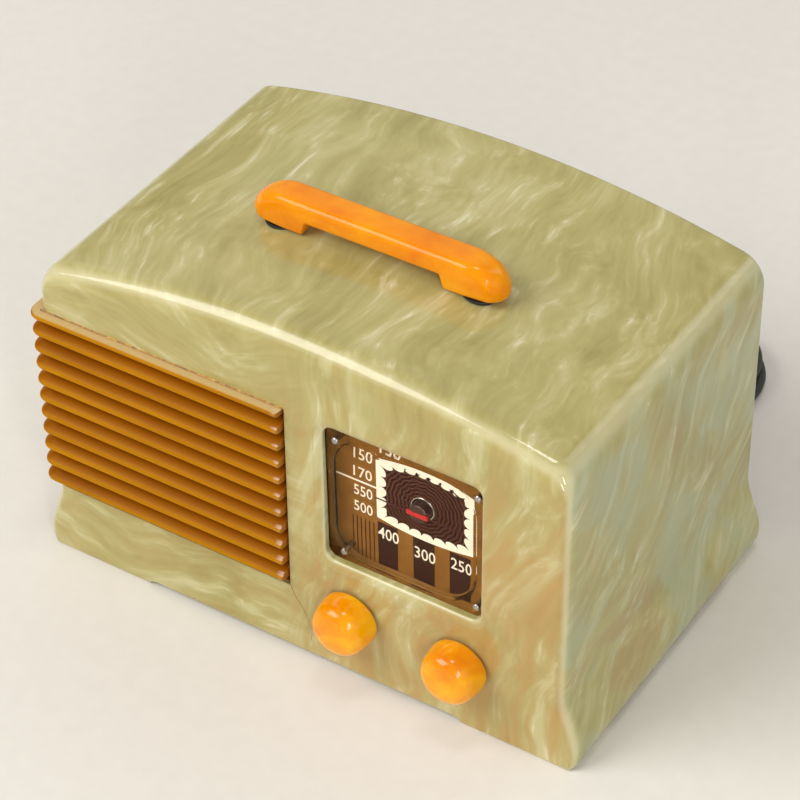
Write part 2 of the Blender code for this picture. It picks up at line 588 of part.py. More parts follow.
def make_control_shafts():
    at = (volume_x, 0, knob_z)
    dress(rod('volume_shaft', at, 'y', shaft_radius, (shaft_front, chassis_front + 10)),
          'sheet_aluminium', at)
    bore, neck, can, face = shaft_radius + 0.4, 4.6, 11.8, chassis_front + sheet + 0.4
    case = [(bore, face - 7.1), (neck, face - 7.1), (neck, face), (can, face), (can, face + 11.4),
            (0, face + 11.4), (0, face + 8.8), (bore, face + 8.8)]
    dress(turned('volume_control', case, at, 'y', 18), 'plated_steel', at)
    at = (tuning_x, 0, knob_z)
    spool, y = spool_turn_radius - 0.8, dial_cord_y
    end, flange = chassis_front + 12, spool_turn_radius + 1
    profile = [(0, shaft_front), (shaft_radius, shaft_front), (shaft_radius, y - 2.2), (flange, y - 2.2),
               (flange, y - 1.4), (spool, y - 0.8), (spool, y + 0.1), (shaft_radius, y + 0.4),
               (shaft_radius, end), (0, end)]
    dress(turned('tuning_shaft', profile, at, 'y', 16), 'sheet_aluminium', at)


def make_dial_cord():
    # an open loop from the drum down to the tuning shaft's spool
    run = Vector((tuning_x - dial_x, knob_z - dial_z))
    aim = math.degrees(math.atan2(run.y, run.x))
    spread = math.degrees(math.acos((drum_turn_radius - spool_turn_radius) / run.length))
    path = arc(dial_x, dial_z, drum_turn_radius, aim + spread, aim + 360 - spread, 20)
    path += arc(tuning_x, knob_z, spool_turn_radius, aim - spread, aim + spread, 6)
    rings = []
    for before, (x, z), after in zip(path[-1:] + path[:-1], path, path[1:] + path[:1]):
        out = Vector((after[1] - before[1], before[0] - after[0])).normalized() * dial_cord_radius
        rings.append([(x + out.x * u, dial_cord_y + dial_cord_radius * v, z + out.y * u)
                      for u, v in arc(0, 0, 1.0, 45, 315, 3)])
    dress(loft('dial_cord', rings, True), 'linen_thread')


def chassis_plan(inset, z):
    left, right = inset - chassis_half, chassis_half - inset
    front_edge, back_edge = chassis_front + inset, chassis_back - inset
    step_x, step_y = chassis_step_x + inset, chassis_step_y + inset
    return [(left, step_y, z), (step_x, step_y, z), (step_x, front_edge, z), (right, front_edge, z),
            (right, back_edge, z), (left, back_edge, z)]


def make_chassis():
    chassis = loft('chassis', [chassis_plan(0, chassis_bottom), chassis_plan(0, chassis_top)])
    cut(chassis, loft('inside', [chassis_plan(sheet, chassis_bottom - 5),
                                 chassis_plan(sheet, chassis_top - sheet)]))
    edge = chassis_half - 0.6
    for x in ((-edge, -74.0), (74.0, edge)):
        join(chassis, box('tab', x, (chassis_screw_y - 8, chassis_screw_y + 8),
                          (chassis_bottom, chassis_bottom + 1.3)))
    spots = [(side * chassis_screw_x, chassis_screw_y, 0) for side in (-1, 1)]
    for at in spots:
        cut(chassis, rod('tab_hole', at, 'z', 2.3, (chassis_bottom - 3, chassis_bottom + 4), 14))
    for x, radius in ((volume_x, 4.9), (tuning_x, shaft_radius + gap)):
        cut(chassis, rod('shaft_hole', (x, 0, knob_z), 'y', radius, (chassis_front - 4, chassis_front + 4)))
    for x, y in tube_places:
        cut(chassis, rod('socket_hole', (x, y, 0), 'z', 9.0, (chassis_top - 5, chassis_top + 3), 16))
    dress(chassis, 'plated_steel')
    head, shank = 0.5, 2.0
    tip = chassis_bottom + 6.3
    profile = [(0, head), (3.6, head + 0.2), (4.6, head + 0.9), (4.6, head + 1.3), (shank, head + 1.3),
               (shank, tip - 0.6), (0, tip)]
    for name, at in zip(('left', 'right'), spots):
        dress(turned('chassis_screw_' + name, profile, at, 'z', 10), 'plated_steel', at)


def make_tubes():
    seat, spigot, skirt, body, bulb = chassis_top + gap, 8.4, 14.6, 13.4, 13.6
    rim = seat + 16.7
    low = rim + 0.4
    base = [(0, seat - 6.3), (spigot, seat - 6.3), (spigot, seat), (skirt - 0.6, seat), (skirt, seat + 0.7),
            (skirt, seat + 5.2), (body, seat + 6.2), (body, rim), (0, rim)]
    glass = [(0, low), (bulb - 1, low), (bulb, low + 3.6), (bulb, low + 35.6), (bulb - 1.6, low + 42.1),
             (8.0, low + 46.6), (3.0, low + 49.1), (0, low + 51.1)]
    for n, (x, y) in enumerate(tube_places, 1):
        at = (x, y, 0)
        dress(turned('tube_base_%d' % n, base, at, 'z', 12), 'brown_phenolic', at)
        dress(turned('tube_glass_%d' % n, glass, at, 'z', 12), 'tube_glass', at)


def make_cans():
    foot, can_top = chassis_top + gap, 98.0
    dress(box('if_can_1', (69.5, 89.0), (-2.0, 18.0), (foot, can_top)), 'sheet_aluminium')
    dress(box('if_can_2', (-22.0, -2.0), (-16.0, 4.0), (foot, can_top)), 'sheet_aluminium')
    at, radius, lid = (79.4, -24.0, 0), 9.6, 95.0
    case = [(0, foot), (radius, foot), (radius, lid - 3), (radius - 1, lid - 1.5), (radius - 1, lid),
            (0, lid)]
    dress(turned('filter_capacitor', case, at, 'z', 20), 'brown_card', at)


def make_back_cover():
    rim = inner_outline(rebate_depth + 0.4, floor_top + rebate_depth + 0.4 - wall)
    inner, outer = rebate_y + gap, back_face - 0.4
    cover = loft('back_cover', [[(x, y, z) for x, z in rim] for y in (inner, outer)])
    through = (inner - 3, outer + 3)
    cut(cover, boxes('vents', [((-vent_half, vent_half), through, (z, z + vent_high)) for z in vent_rows]))
    cut(cover, rod('cord_hole', (cord_exit_x, 0, cord_exit_z), 'y', 5.2, through, 16))
    head, tip, shank = outer + 0.2, rebate_y - 10.6, 1.35
    profile = [(0, tip), (shank, tip + 0.4), (shank, head), (3.6, head), (3.3, head + 0.6),
               (2.0, head + 0.95), (0, head + 1.0)]
    spots = [(x, 0, z) for z in boss_z for x in (-boss_x, boss_x)]
    for n, at in enumerate(spots, 1):
        cut(cover, rod('screw_hole', at, 'y', 1.8, through, 12))
        dress(turned('back_screw_%d' % n, profile, at, 'y', 10), 'plated_steel', at)
    dress(cover, 'brown_card')


def make_antenna():
    turns, pitch, wire, middle, wide, tall = 3, 3.0, 0.6, 83.0, 68.0, 27.0
    path = []
    for turn in range(turns):
        corner = 6.0 + pitch * turn
        ring = rounded_rect((-wide - corner, wide + corner),
                            (middle - tall - corner, middle + tall + corner), corner, 2)
        for k, (x, z) in enumerate(ring):
            grow = pitch * k / len(ring)
            path.append((x + math.copysign(grow, x), rebate_y - 1.0, z + math.copysign(grow, z - middle)))
    print('antenna gap', round(least_gap(path, wire), 2), 'mm')
    dress(cord('antenna_loop', path, wire, 0), 'copper_wire')


def smooth(points, per=2):
    # points on a smooth curve through the route's own points
    route = [Vector(p) for p in points]
    ends = [2 * route[0] - route[1]] + route + [2 * route[-1] - route[-2]]
    path = []
    for a, b, c, d in zip(ends, ends[1:], ends[2:], ends[3:]):
        for t in (k / per for k in range(per)):
            square, cube = 2 * a - 5 * b + 4 * c - d, 3 * b - a - 3 * c + d
            path.append(b + 0.5 * ((c - a) * t + square * t ** 2 + cube * t ** 3))
    return path + [route[-1]]


def length(path):
    return sum((Vector(b) - Vector(a)).length for a, b in zip(path, path[1:]))


def least_gap(path, radius):
    # the least clear distance between two stretches of one tube that are not next to each other
    points, along = [], [0.0]
    for a, b in zip(path, path[1:]):
        a, b = Vector(a), Vector(b)
        steps = max(int((b - a).length / (radius * 0.7)), 1)
        points += [a.lerp(b, k / steps) for k in range(steps)]
    for a, b in zip(points, points[1:]):
        along.append(along[-1] + (b - a).length)
    least = 1e9
    for i, a in enumerate(points):
        for j in range(i + 1, len(points)):
            if along[j] - along[i] > radius * 7:
                least = min(least, (points[j] - a).length)
    return least - 2 * radius


def hank_path():
    # in along the lower layer, up on the innermost run and out along the upper layer, drawn in at the waist
    step, inner = hank_pitch / 2, hank_half_turns // 2
    runs = []
    for n in range(hank_half_turns):
        out = abs(inner - n)
        start, end = (hank_low if n <= inner else hank_high), (hank_low if n < inner else hank_high)
        runs.append(((hank_inner + step * out) * (1 if n % 2 else -1), start, end))
    half_run, run_steps, turn_steps = hank_run / 2, 4, 8
    path = [(hank_x - half_run - 2 * cord_radius, hank_y + runs[0][0], hank_low)]
    for n, (offset, start, end) in enumerate(runs):
        way = -1 if n % 2 else 1
        for t in (k / run_steps for k in range(run_steps + 1)):
            x = way * half_run * (2 * t - 1)
            waist = 1 - hank_waist * math.exp(-(x / waist_reach) ** 2)
            path.append((hank_x + x, hank_y + offset * waist, start + (end - start) * t * t * (3 - 2 * t)))
        if n + 1 < len(runs):
            following = runs[n + 1][0]
            middle, half = (offset + following) / 2, (following - offset) / 2
            for t in (math.pi * k / turn_steps for k in range(1, turn_steps)):
                path.append((hank_x + way * (half_run + abs(half) * math.sin(t)),
                             hank_y + middle - half * math.cos(t), end))
    path.append((hank_x + way * (half_run + 2 * cord_radius), hank_y + runs[-1][0], hank_high))
    return path


def make_lead():
    at = (cord_exit_x, 0, cord_exit_z)
    bore, collar, neck, flange, y = cord_radius + 0.4, 5.4, 4.8, 7.2, rebate_y + gap
    sleeve = [(bore, y - 1.7), (collar, y - 1.7), (collar, y - 0.4), (neck, y - 0.4), (neck, y + 2.7),
              (flange, y + 2.7), (flange, y + 4.3), (5.2, y + 5.3), (3.7, relief_tip), (bore, relief_tip)]
    dress(turned('strain_relief', sleeve, at, 'y', 14), 'dark_rubber', at)
    hank, free, tail = hank_path(), smooth(cord_route), smooth(tail_route)
    dress(cord('mains_cord', free, cord_radius, 2), 'dark_rubber')
    dress(cord('cord_hank', hank, cord_radius, 1), 'dark_rubber')
    dress(cord('cord_tail', tail, cord_radius, 2), 'dark_rubber')
    print('hank gap', round(least_gap(hank, cord_radius), 2), 'mm')
    print('lead', round(length(hank) + length(free) + length(tail)), 'mm')


def make_cord_tie():
    half_width, clear, thick = 6.0, 0.3, 0.4
    # the runs are straight from the waist to a quarter of their length away
    spread = 1 - hank_waist * (1 - half_width / (hank_run / 4)) + 0.01
    outer = hank_inner + hank_pitch / 2 * (hank_half_turns // 2)
    near = hank_y - outer * spread - cord_radius - clear
    far = hank_y + (outer - hank_pitch / 2) * spread + cord_radius + clear
    low, high = hank_low - cord_radius - clear, hank_high + cord_radius + clear
    rings = []
    for x, grow in ((-half_width, 0.0), (half_width, 0.0), (half_width, thick), (-half_width, thick)):
        ring = rounded_rect((near - grow, far + grow), (low - grow, high + grow), cord_radius + grow, 3)
        rings.append([(hank_x + x, y, z) for y, z in ring])
    dress(loft('cord_tie', rings, True), 'black_fibre')


def make_plug():
    at = (plug_x, plug_y, plug_z)
    bore, boot, grip, face = cord_radius + 0.5, 4.2, 8.0, -26.0
    body = [(0, -6.0), (bore, -6.0), (bore, 0), (boot, 0), (boot + 0.4, -8.0), (grip - 1.6, -11.0),
            (grip, -14.0), (grip, face + 1), (grip - 0.8, face), (0, face)]
    plug = turned('plug', body, at, 'y', 16)
    blade_apart, blade_thick, blade_wide, blade_long = 6.0, 0.75, 3.1, 15.0
    for x in (plug_x - blade_apart, plug_x + blade_apart):
        join(plug, box('blade', (x - blade_thick, x + blade_thick),
                       (plug_y + face - blade_long, plug_y + face + 2),
                       (plug_z - blade_wide, plug_z + blade_wide)))
    dress(plug, 'brown_phenolic')


for old in list(bpy.data.objects):
    bpy.data.objects.remove(old)
bpy.context.scene.collection.objects.link(bpy.data.objects.new('radio', None))
make_cabinet()
make_grille()
make_grille_cloth()
make_speaker()
make_handle()
make_handle_fixings()
make_dial_face()
make_dial_bracket()
make_pointer()
make_tuning_gang()
make_knobs()
make_control_shafts()
make_dial_cord()
make_chassis()
make_tubes()
make_cans()
make_back_cover()
make_antenna()
make_lead()
make_cord_tie()
make_plug()
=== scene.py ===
import bmesh
import bpy
import numpy as np
from mathutils import Matrix


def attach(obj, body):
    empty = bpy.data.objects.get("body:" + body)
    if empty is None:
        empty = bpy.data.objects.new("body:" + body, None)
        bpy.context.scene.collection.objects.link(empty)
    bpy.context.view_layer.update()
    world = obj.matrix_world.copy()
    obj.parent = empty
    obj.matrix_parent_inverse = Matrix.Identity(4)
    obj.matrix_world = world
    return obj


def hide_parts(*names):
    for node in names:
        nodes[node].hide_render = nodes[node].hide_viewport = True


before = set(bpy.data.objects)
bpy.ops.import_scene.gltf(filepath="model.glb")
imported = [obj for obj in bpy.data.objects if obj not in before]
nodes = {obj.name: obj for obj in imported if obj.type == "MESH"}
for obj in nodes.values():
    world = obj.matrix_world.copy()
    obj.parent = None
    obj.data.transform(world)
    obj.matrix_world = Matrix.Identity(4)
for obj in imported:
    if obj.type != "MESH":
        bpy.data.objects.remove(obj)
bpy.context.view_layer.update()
mm = 0.001
fullTurn = 2 * np.pi
print("frame loaded:", len(nodes), "nodes")


# Colours and nodes

def linear(hexColour):
    # sRGB to linear light: a straight line near black, a power of 2.4 above it
    srgb = np.array([int(hexColour[k:k + 2], 16) for k in (1, 3, 5)]) / 255
    light = np.where(srgb <= 0.04045, srgb / 12.92, ((srgb + 0.055) / 1.055) ** 2.4)
    return (*light.tolist(), 1.0)


def addNode(tree, kind, settings=(), inputs=(), stops=()):
    # one node with its settings; an input given as a socket is linked, any other is its value
    node = tree.nodes.new("ShaderNode" + kind)
    for key, value in dict(settings).items():
        setattr(node, key, value)
    for key, value in dict(inputs).items():
        if isinstance(value, bpy.types.NodeSocket):
            tree.links.new(value, node.inputs[key])
        else:
            node.inputs[key].default_value = value
    for k, (position, hexColour) in enumerate(stops):
        stop = node.color_ramp.elements[k] if k < 2 else node.color_ramp.elements.new(position)
        stop.position, stop.color = position, linear(hexColour)
    return node


def newFinish(name, **sockets):
    # an empty material whose plain numbers sit on the shader's own sockets
    material = bpy.data.materials.new(name)
    material.use_nodes = True
    surface = material.node_tree.nodes["Principled BSDF"]
    for key, value in sockets.items():
        surface.inputs[key].default_value = value
    return material, material.node_tree, surface


mixing = {"data_type": "RGBA"}  # a Mix node of colours: factor 0, first 6, second 7, result 2


# Meshes

def gridFaces(rows, columns, closeRows=False, closeColumns=False):
    # quads between neighbouring grid points; a closed way joins its last line to its first
    index = np.arange(rows * columns).reshape(rows, columns)
    if closeRows:
        index = np.vstack([index, index[:1]])
    if closeColumns:
        index = np.hstack([index, index[:, :1]])
    corners = (index[:-1, :-1], index[:-1, 1:], index[1:, 1:], index[1:, :-1])
    return np.stack(corners, -1).reshape(-1, 4).tolist()


def newPiece(name, points, faces, material=None, sharp=35.0):
    # points in millimetres go in as metres; doubles are merged and the faces turned outwards
    mesh = bpy.data.meshes.new(name)
    mesh.from_pydata((np.asarray(points).reshape(-1, 3) * mm).tolist(), [], faces)
    work = bmesh.new()
    work.from_mesh(mesh)
    bmesh.ops.remove_doubles(work, verts=work.verts, dist=1e-7)
    bmesh.ops.dissolve_degenerate(work, edges=work.edges, dist=1e-7)
    bmesh.ops.recalc_face_normals(work, faces=work.faces)
    work.to_mesh(mesh)
    work.free()
    piece = bpy.data.objects.new(name, mesh)
    bpy.context.scene.collection.objects.link(piece)
    if material:
        mesh.materials.append(material)
    smoothFaces(piece, sharp)
    return piece


def smoothFaces(piece, sharp=35.0):
    piece.data.shade_smooth()
    piece.data.set_sharp_from_angle(angle=np.radians(sharp))


def ringSolid(name, rings, material=None, loop=False, sharp=35.0):
    # rows of closed lines; flat faces close both ends, or the last row joins the first
    rings = np.asarray(rings)
    rows, columns = rings.shape[:2]
    faces = gridFaces(rows, columns, loop, True)
    if not loop:
        faces += [list(range(columns)), list(range((rows - 1) * columns, rows * columns))]
    return newPiece(name, rings, faces, material, sharp)


def turnedPiece(name, profile, centre, axis, material=None, steps=64, loop=False, sharp=35.0):
    # a profile of (radius, distance along the axis) carried once round the axis
    radius, along = np.array(profile, float).T
    turn = np.arange(steps) / steps * fullTurn
    flat = np.stack([np.outer(radius, np.cos(turn)), np.outer(radius, np.sin(turn))], -1)
    lengthwise = np.broadcast_to(along[:, None], flat.shape[:2])
    order = {"x": (2, 0, 1), "y": (0, 2, 1), "z": (0, 1, 2)}[axis]
    points = np.concatenate([flat, lengthwise[..., None]], -1)[..., order] + np.array(centre)
    return newPiece(name, points, gridFaces(len(profile), steps, loop, True), material, sharp)


def carve(piece, tool, operation="DIFFERENCE"):
    step = piece.modifiers.new("carve", "BOOLEAN")
    step.operation, step.solver, step.object = operation, "EXACT", tool
    with bpy.context.temp_override(object=piece, active_object=piece):
        bpy.ops.object.modifier_apply(modifier=step.name)
    bpy.data.objects.remove(tool)


def blocks(name, spans):
    # separate square-edged blocks in one mesh, from their x, y and z spans
    corners = np.array([[x[a], y[b], z[c]] for x, y, z in spans for a in (0, 1) for b in (0, 1) for c in (0, 1)])
    sides = np.array([[0, 1, 3, 2], [4, 6, 7, 5], [0, 4, 5, 1], [2, 3, 7, 6], [0, 2, 6, 4], [1, 5, 7, 3]])
    faces = (np.arange(len(spans))[:, None, None] * 8 + sides).reshape(-1, 4).tolist()
    return newPiece(name, corners, faces)


def arcLine(x, z, radius, start, end, steps):
    turn = np.radians(np.linspace(start, end, steps + 1))
    return np.stack([x + radius * np.cos(turn), z + radius * np.sin(turn)], -1)


def roundedBox(x, z, radius, steps=10):
    # a rectangle in the x z plane with round corners, as one closed line
    corners = ((x[1] - radius, z[1] - radius, 0), (x[0] + radius, z[1] - radius, 90),
               (x[0] + radius, z[0] + radius, 180), (x[1] - radius, z[0] + radius, 270))
    return np.concatenate([arcLine(cx, cz, radius, start, start + 90, steps) for cx, cz, start in corners])


def atDepth(line, depth):
    # a line of x and z set at a depth y, one number or one for each point
    line = np.asarray(line)
    return np.stack([line[:, 0], np.broadcast_to(depth, len(line)), line[:, 1]], -1)


def smoothCurve(points, per):
    # Catmull-Rom: a cubic through each pair of points, with slopes from their neighbours
    route = np.array(points, float)
    ends = np.vstack([2 * route[0] - route[1], route, 2 * route[-1] - route[-2]])
    a, b, c, d = ends[:-3, None], ends[1:-2, None], ends[2:-1, None], ends[3:, None]
    t = (np.arange(per) / per)[None, :, None]
    curve = b + 0.5 * ((c - a) * t + (2 * a - 5 * b + 4 * c - d) * t ** 2 + (3 * b - a - 3 * c + d) * t ** 3)
    return np.vstack([curve.reshape(-1, route.shape[1]), route[-1:]])


def stand(piece, body, slot, *replaced):
    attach(piece, body)
    if replaced:
        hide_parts(*replaced)
    return piece


# Camera and stage

camera = {"lens": 130.298, "sensor": 36.0, "place": (442.224, -669.292, 748.733),
          "right": (0.84301, 0.53769, -0.01476), "up": (-0.33649, 0.54858, 0.76539),
          "back": (0.41964, -0.64027, 0.64339)}


def setCamera():
    lens = bpy.data.cameras.new("camera")
    lens.lens, lens.sensor_width = camera["lens"], camera["sensor"]
    lens.clip_start, lens.clip_end = 0.05, 20.0
    viewer = bpy.data.objects.new("camera", lens)
    bpy.context.scene.collection.objects.link(viewer)
    axes = np.eye(4)
    axes[:3, :3] = np.array([camera["right"], camera["up"], camera["back"]]).T
    axes[:3, 3] = np.array(camera["place"]) * mm
    viewer.matrix_world = Matrix(axes.tolist())
    bpy.context.scene.camera = viewer


# place and aim in metres, size in metres, power in watts
lamps = {
    "window": {"place": (-1.25, -1.45, 1.85), "aim": (0.0, 0.0, 0.08), "size": (1.7, 1.4), "power": 47.0},
    "room": {"place": (1.9, -0.5, 1.1), "aim": (0.0, 0.0, 0.08), "size": (1.6, 1.2), "power": 2.5},
    "ceiling": {"place": (0.15, -0.1, 2.0), "aim": (0.05, -0.05, 0.05), "size": (0.5, 0.22), "power": 4.0},
    "backPanel": {"place": (-0.97, 1.47, 1.6), "aim": (0.0, 0.0, 0.14), "size": (2.4, 1.4), "power": 4.0},
    "backTube": {"place": (0.65, 0.95, 1.1), "aim": (0.1, 0.0, 0.12), "size": (0.3, 0.8), "power": 1.2},
    "lowPane": {"place": (0.85, -1.55, 0.42), "aim": (0.05, -0.05, 0.05), "size": (0.16, 0.5), "power": 3.5},
    "sidePane": {"place": (1.0, -1.0, 0.85), "aim": (0.05, -0.05, 0.05), "size": (0.16, 0.5), "power": 4.8},
}
stage = {"floor": "#e6e1d8", "air": "#f4f1ec", "airStrength": 0.42, "reach": 3.0}


def setStage():
    half = stage["reach"] / mm
    material, tree, surface = newFinish("paintedFloor", Roughness=0.75)
    grain = addNode(tree, "TexNoise", inputs={"Scale": 140.0, "Detail": 3.0,
                                              "Vector": addNode(tree, "TexCoord").outputs["Object"]})
    shade = addNode(tree, "ValToRGB", inputs={"Fac": grain.outputs["Fac"]},
                    stops=((0.3, "#e3ded5"), (0.7, stage["floor"])))
    tree.links.new(shade.outputs["Color"], surface.inputs["Base Color"])
    across = np.linspace(-half, half, 5)
    x, y = np.meshgrid(across, across)
    floor = newPiece("floor", np.stack([x, y, np.full_like(x, -0.02)], -1), gridFaces(5, 5), material)
    world = bpy.data.worlds.new("air")
    world.use_nodes = True
    sky = world.node_tree.nodes["Background"]
    sky.inputs["Color"].default_value = linear(stage["air"])
    sky.inputs["Strength"].default_value = stage["airStrength"]
    bpy.context.scene.world = world
    for name, lamp in lamps.items():
        light = bpy.data.lights.new(name, "AREA")
        light.shape, light.energy = "RECTANGLE", lamp["power"]
        light.size, light.size_y = lamp["size"]
        holder = bpy.data.objects.new(name, light)
        bpy.context.scene.collection.objects.link(holder)
        back = np.array(lamp["place"]) - np.array(lamp["aim"])
        back /= np.linalg.norm(back)
        right = np.cross((0, 0, 1), back)
        right /= np.linalg.norm(right)
        axes = np.eye(4)
        axes[:3, :3] = np.array([right, np.cross(back, right), back]).T
        axes[:3, 3] = lamp["place"]
        holder.matrix_world = Matrix(axes.tolist())
    bpy.context.scene.view_settings.view_transform = "Standard"


# Mains lead: the route in millimetres is the solids' own

lead = {"radius": 2.5, "sides": 16, "exit": (-86.0, 75.3, 14.2),
        "free": ((-86.0, 73.0, 14.2), (-86.0, 85.0, 14.2), (-86.0, 97.0, 14.1), (-84.1, 106.6, 12.6),
                 (-78.7, 114.7, 9.3), (-70.6, 120.1, 5.6), (-61.0, 122.0, 3.5)),
        "tail": ((-66.0, 176.8, 8.5), (-78.7, 174.6, 6.4), (-89.8, 168.1, 4.1), (-98.0, 158.3, 3.0),
                 (-102.4, 146.2, 4.2), (-103.0, 139.8, 5.6), (-103.0, 131.5, 7.9), (-103.0, 124.0, 8.2)),
        "plug": (-103.0, 129.0, 8.2)}
hank = {"x": -2.7, "y": 150.95, "run": 98.8, "halfTurns": 10, "inner": 13.45, "pitch": 6.2, "waist": 0.12,
        "waistReach": 20.0, "low": 3.3, "high": 8.9}


def hankRoute():
    # straight runs drawn in at the waist, joined by half circles: in along the lower layer, out along the upper
    middle, half = hank["halfTurns"] // 2, hank["run"] / 2
    turn = np.pi * np.arange(1, 12) / 12
    offsets = [(hank["inner"] + hank["pitch"] / 2 * abs(middle - n)) * (1 if n % 2 else -1)
               for n in range(hank["halfTurns"])]
    parts = []
    for n, offset in enumerate(offsets):
        way = -1 if n % 2 else 1
        start = hank["low"] if n <= middle else hank["high"]
        end = hank["low"] if n < middle else hank["high"]
        t = np.linspace(0, 1, 9)
        x = way * half * (2 * t - 1)
        y = offset * (1 - hank["waist"] * np.exp(-(x / hank["waistReach"]) ** 2))
        z = start + (end - start) * t * t * (3 - 2 * t)
        parts.append(np.stack([hank["x"] + x, hank["y"] + y, z], -1))
        if n + 1 < len(offsets):
            centre, reach = (offset + offsets[n + 1]) / 2, (offsets[n + 1] - offset) / 2
            parts.append(np.stack([hank["x"] + way * (half + abs(reach) * np.sin(turn)),
                                   hank["y"] + centre - reach * np.cos(turn), np.full_like(turn, end)], -1))
    return np.concatenate(parts)


def tubeAlong(name, path, radius, sides, material):
    # a circle carried along a path, on frames that stay level
    way = np.gradient(path, axis=0)
    way /= np.linalg.norm(way, axis=1, keepdims=True)
    side = np.cross(way, (0.0, 0.0, 1.0))
    side /= np.linalg.norm(side, axis=1, keepdims=True)
    up = np.cross(side, way)
    turn = np.arange(sides) / sides * fullTurn
    rings = path[:, None] + radius * (np.cos(turn)[None, :, None] * side[:, None]
                                      + np.sin(turn)[None, :, None] * up[:, None])
    return ringSolid(name, rings, material, sharp=60.0)


def makeLead():
    path = smoothCurve(np.concatenate([np.array(lead["free"]), hankRoute(), np.array(lead["tail"])]), 4)
    flex = tubeAlong("mainsLead", path, lead["radius"], lead["sides"], finishes["vulcanisedRubber"])
    stand(flex, "radio", "dark_rubber", "mains_cord", "cord_hank", "cord_tail")
    x, y, z = lead["exit"]
    # the relief is a moulded sleeve whose ribs get smaller towards its tip
    t = np.linspace(0, 1, 60)
    ribs = 5.2 - 1.5 * t + 0.35 * (1 - t) * np.sin(t * fullTurn * 6)
    outside = [(2.9, 71.2), (5.3, 71.2), (5.4, 72.5), (4.8, 72.5), (4.8, 75.6), (6.8, 75.6), (7.2, 76.0),
               (7.2, 76.9), (6.6, 77.4), *np.stack([ribs, 77.6 + 18.6 * t], -1).tolist(), (3.3, 96.5), (2.9, 96.4)]
    relief = turnedPiece("leadRelief", outside, (x, 0, z), "y", finishes["vulcanisedRubber"], 48, True, 50.0)
    stand(relief, "radio", "dark_rubber", "strain_relief")
    tie = makeTie()
    plug = makePlug()


def makeTie():
    # a rounded band round the hank's waist, its edges turned slightly out
    half, reach = 6.0, hank["inner"] + hank["pitch"] / 2 * (hank["halfTurns"] // 2)
    spread = 1 - hank["waist"] * (1 - half / (hank["run"] / 4)) + 0.01
    near, far = hank["y"] - reach * spread - 2.8, hank["y"] + (reach - hank["pitch"] / 2) * spread + 2.8
    low, high = hank["low"] - 2.8, hank["high"] + 2.8
    rings = []
    for across, grow in ((-6.0, 0.02), (-5.6, 0.0), (5.6, 0.0), (6.0, 0.02), (6.0, 0.4), (5.6, 0.44), (-5.6, 0.44),
                         (-6.0, 0.4)):
        line = roundedBox((near - grow, far + grow), (low - grow, high + grow), 2.5 + grow, 8)
        rings.append(np.stack([np.full(len(line), hank["x"] + across), line[:, 0], line[:, 1]], -1))
    tie = ringSolid("leadTie", rings, finishes["blackTape"], True)
    return stand(tie, "radio", "black_fibre", "cord_tie")


def makePlug():
    x, y, z = lead["plug"]
    boot = np.linspace(0, 1, 24)
    grooves = 4.2 + 0.4 * boot + 0.22 * np.sin(boot * fullTurn * 4) * (1 - boot)
    profile = [(0, -6.0), (3.0, -6.0), (3.0, -0.2), (3.3, 0.0), *np.stack([grooves, -0.4 - 7.6 * boot], -1).tolist(),
               (5.4, -9.6), (6.4, -11.0), (7.4, -12.6), (7.9, -14.0), (8.0, -15.0), (8.0, -24.6), (7.8, -25.4),
               (7.2, -26.0), (0, -26.0)]
    body = turnedPiece("plugBody", profile, (x, y, z), "y", finishes["mouldedPhenolic"], 48)
    stand(body, "radio", "brown_phenolic", "plug")
    # each blade is a flat bar with a bevelled nose and a round hole
    line = np.array([(-23.9, -3.1), (-39.0, -3.1), (-41.0, -1.9), (-41.0, 1.9), (-39.0, 3.1), (-23.9, 3.1)])
    blades = []
    for side in (-6.0, 6.0):
        rings = [np.stack([np.full(6, x + side + t), y + line[:, 0], z + line[:, 1]], -1) for t in (-0.75, 0.75)]
        blade = ringSolid("plugBlade%d" % len(blades), rings, finishes["nickelBrass"])
        carve(blade, turnedPiece("hole", [(0, -2), (1.4, -2), (1.4, 2), (0, 2)], (x + side, y - 37.0, z), "x"))
        smoothFaces(blade)
        blades.append(stand(blade, "radio", "bright_brass"))
    return [body, *blades]


# Finishes

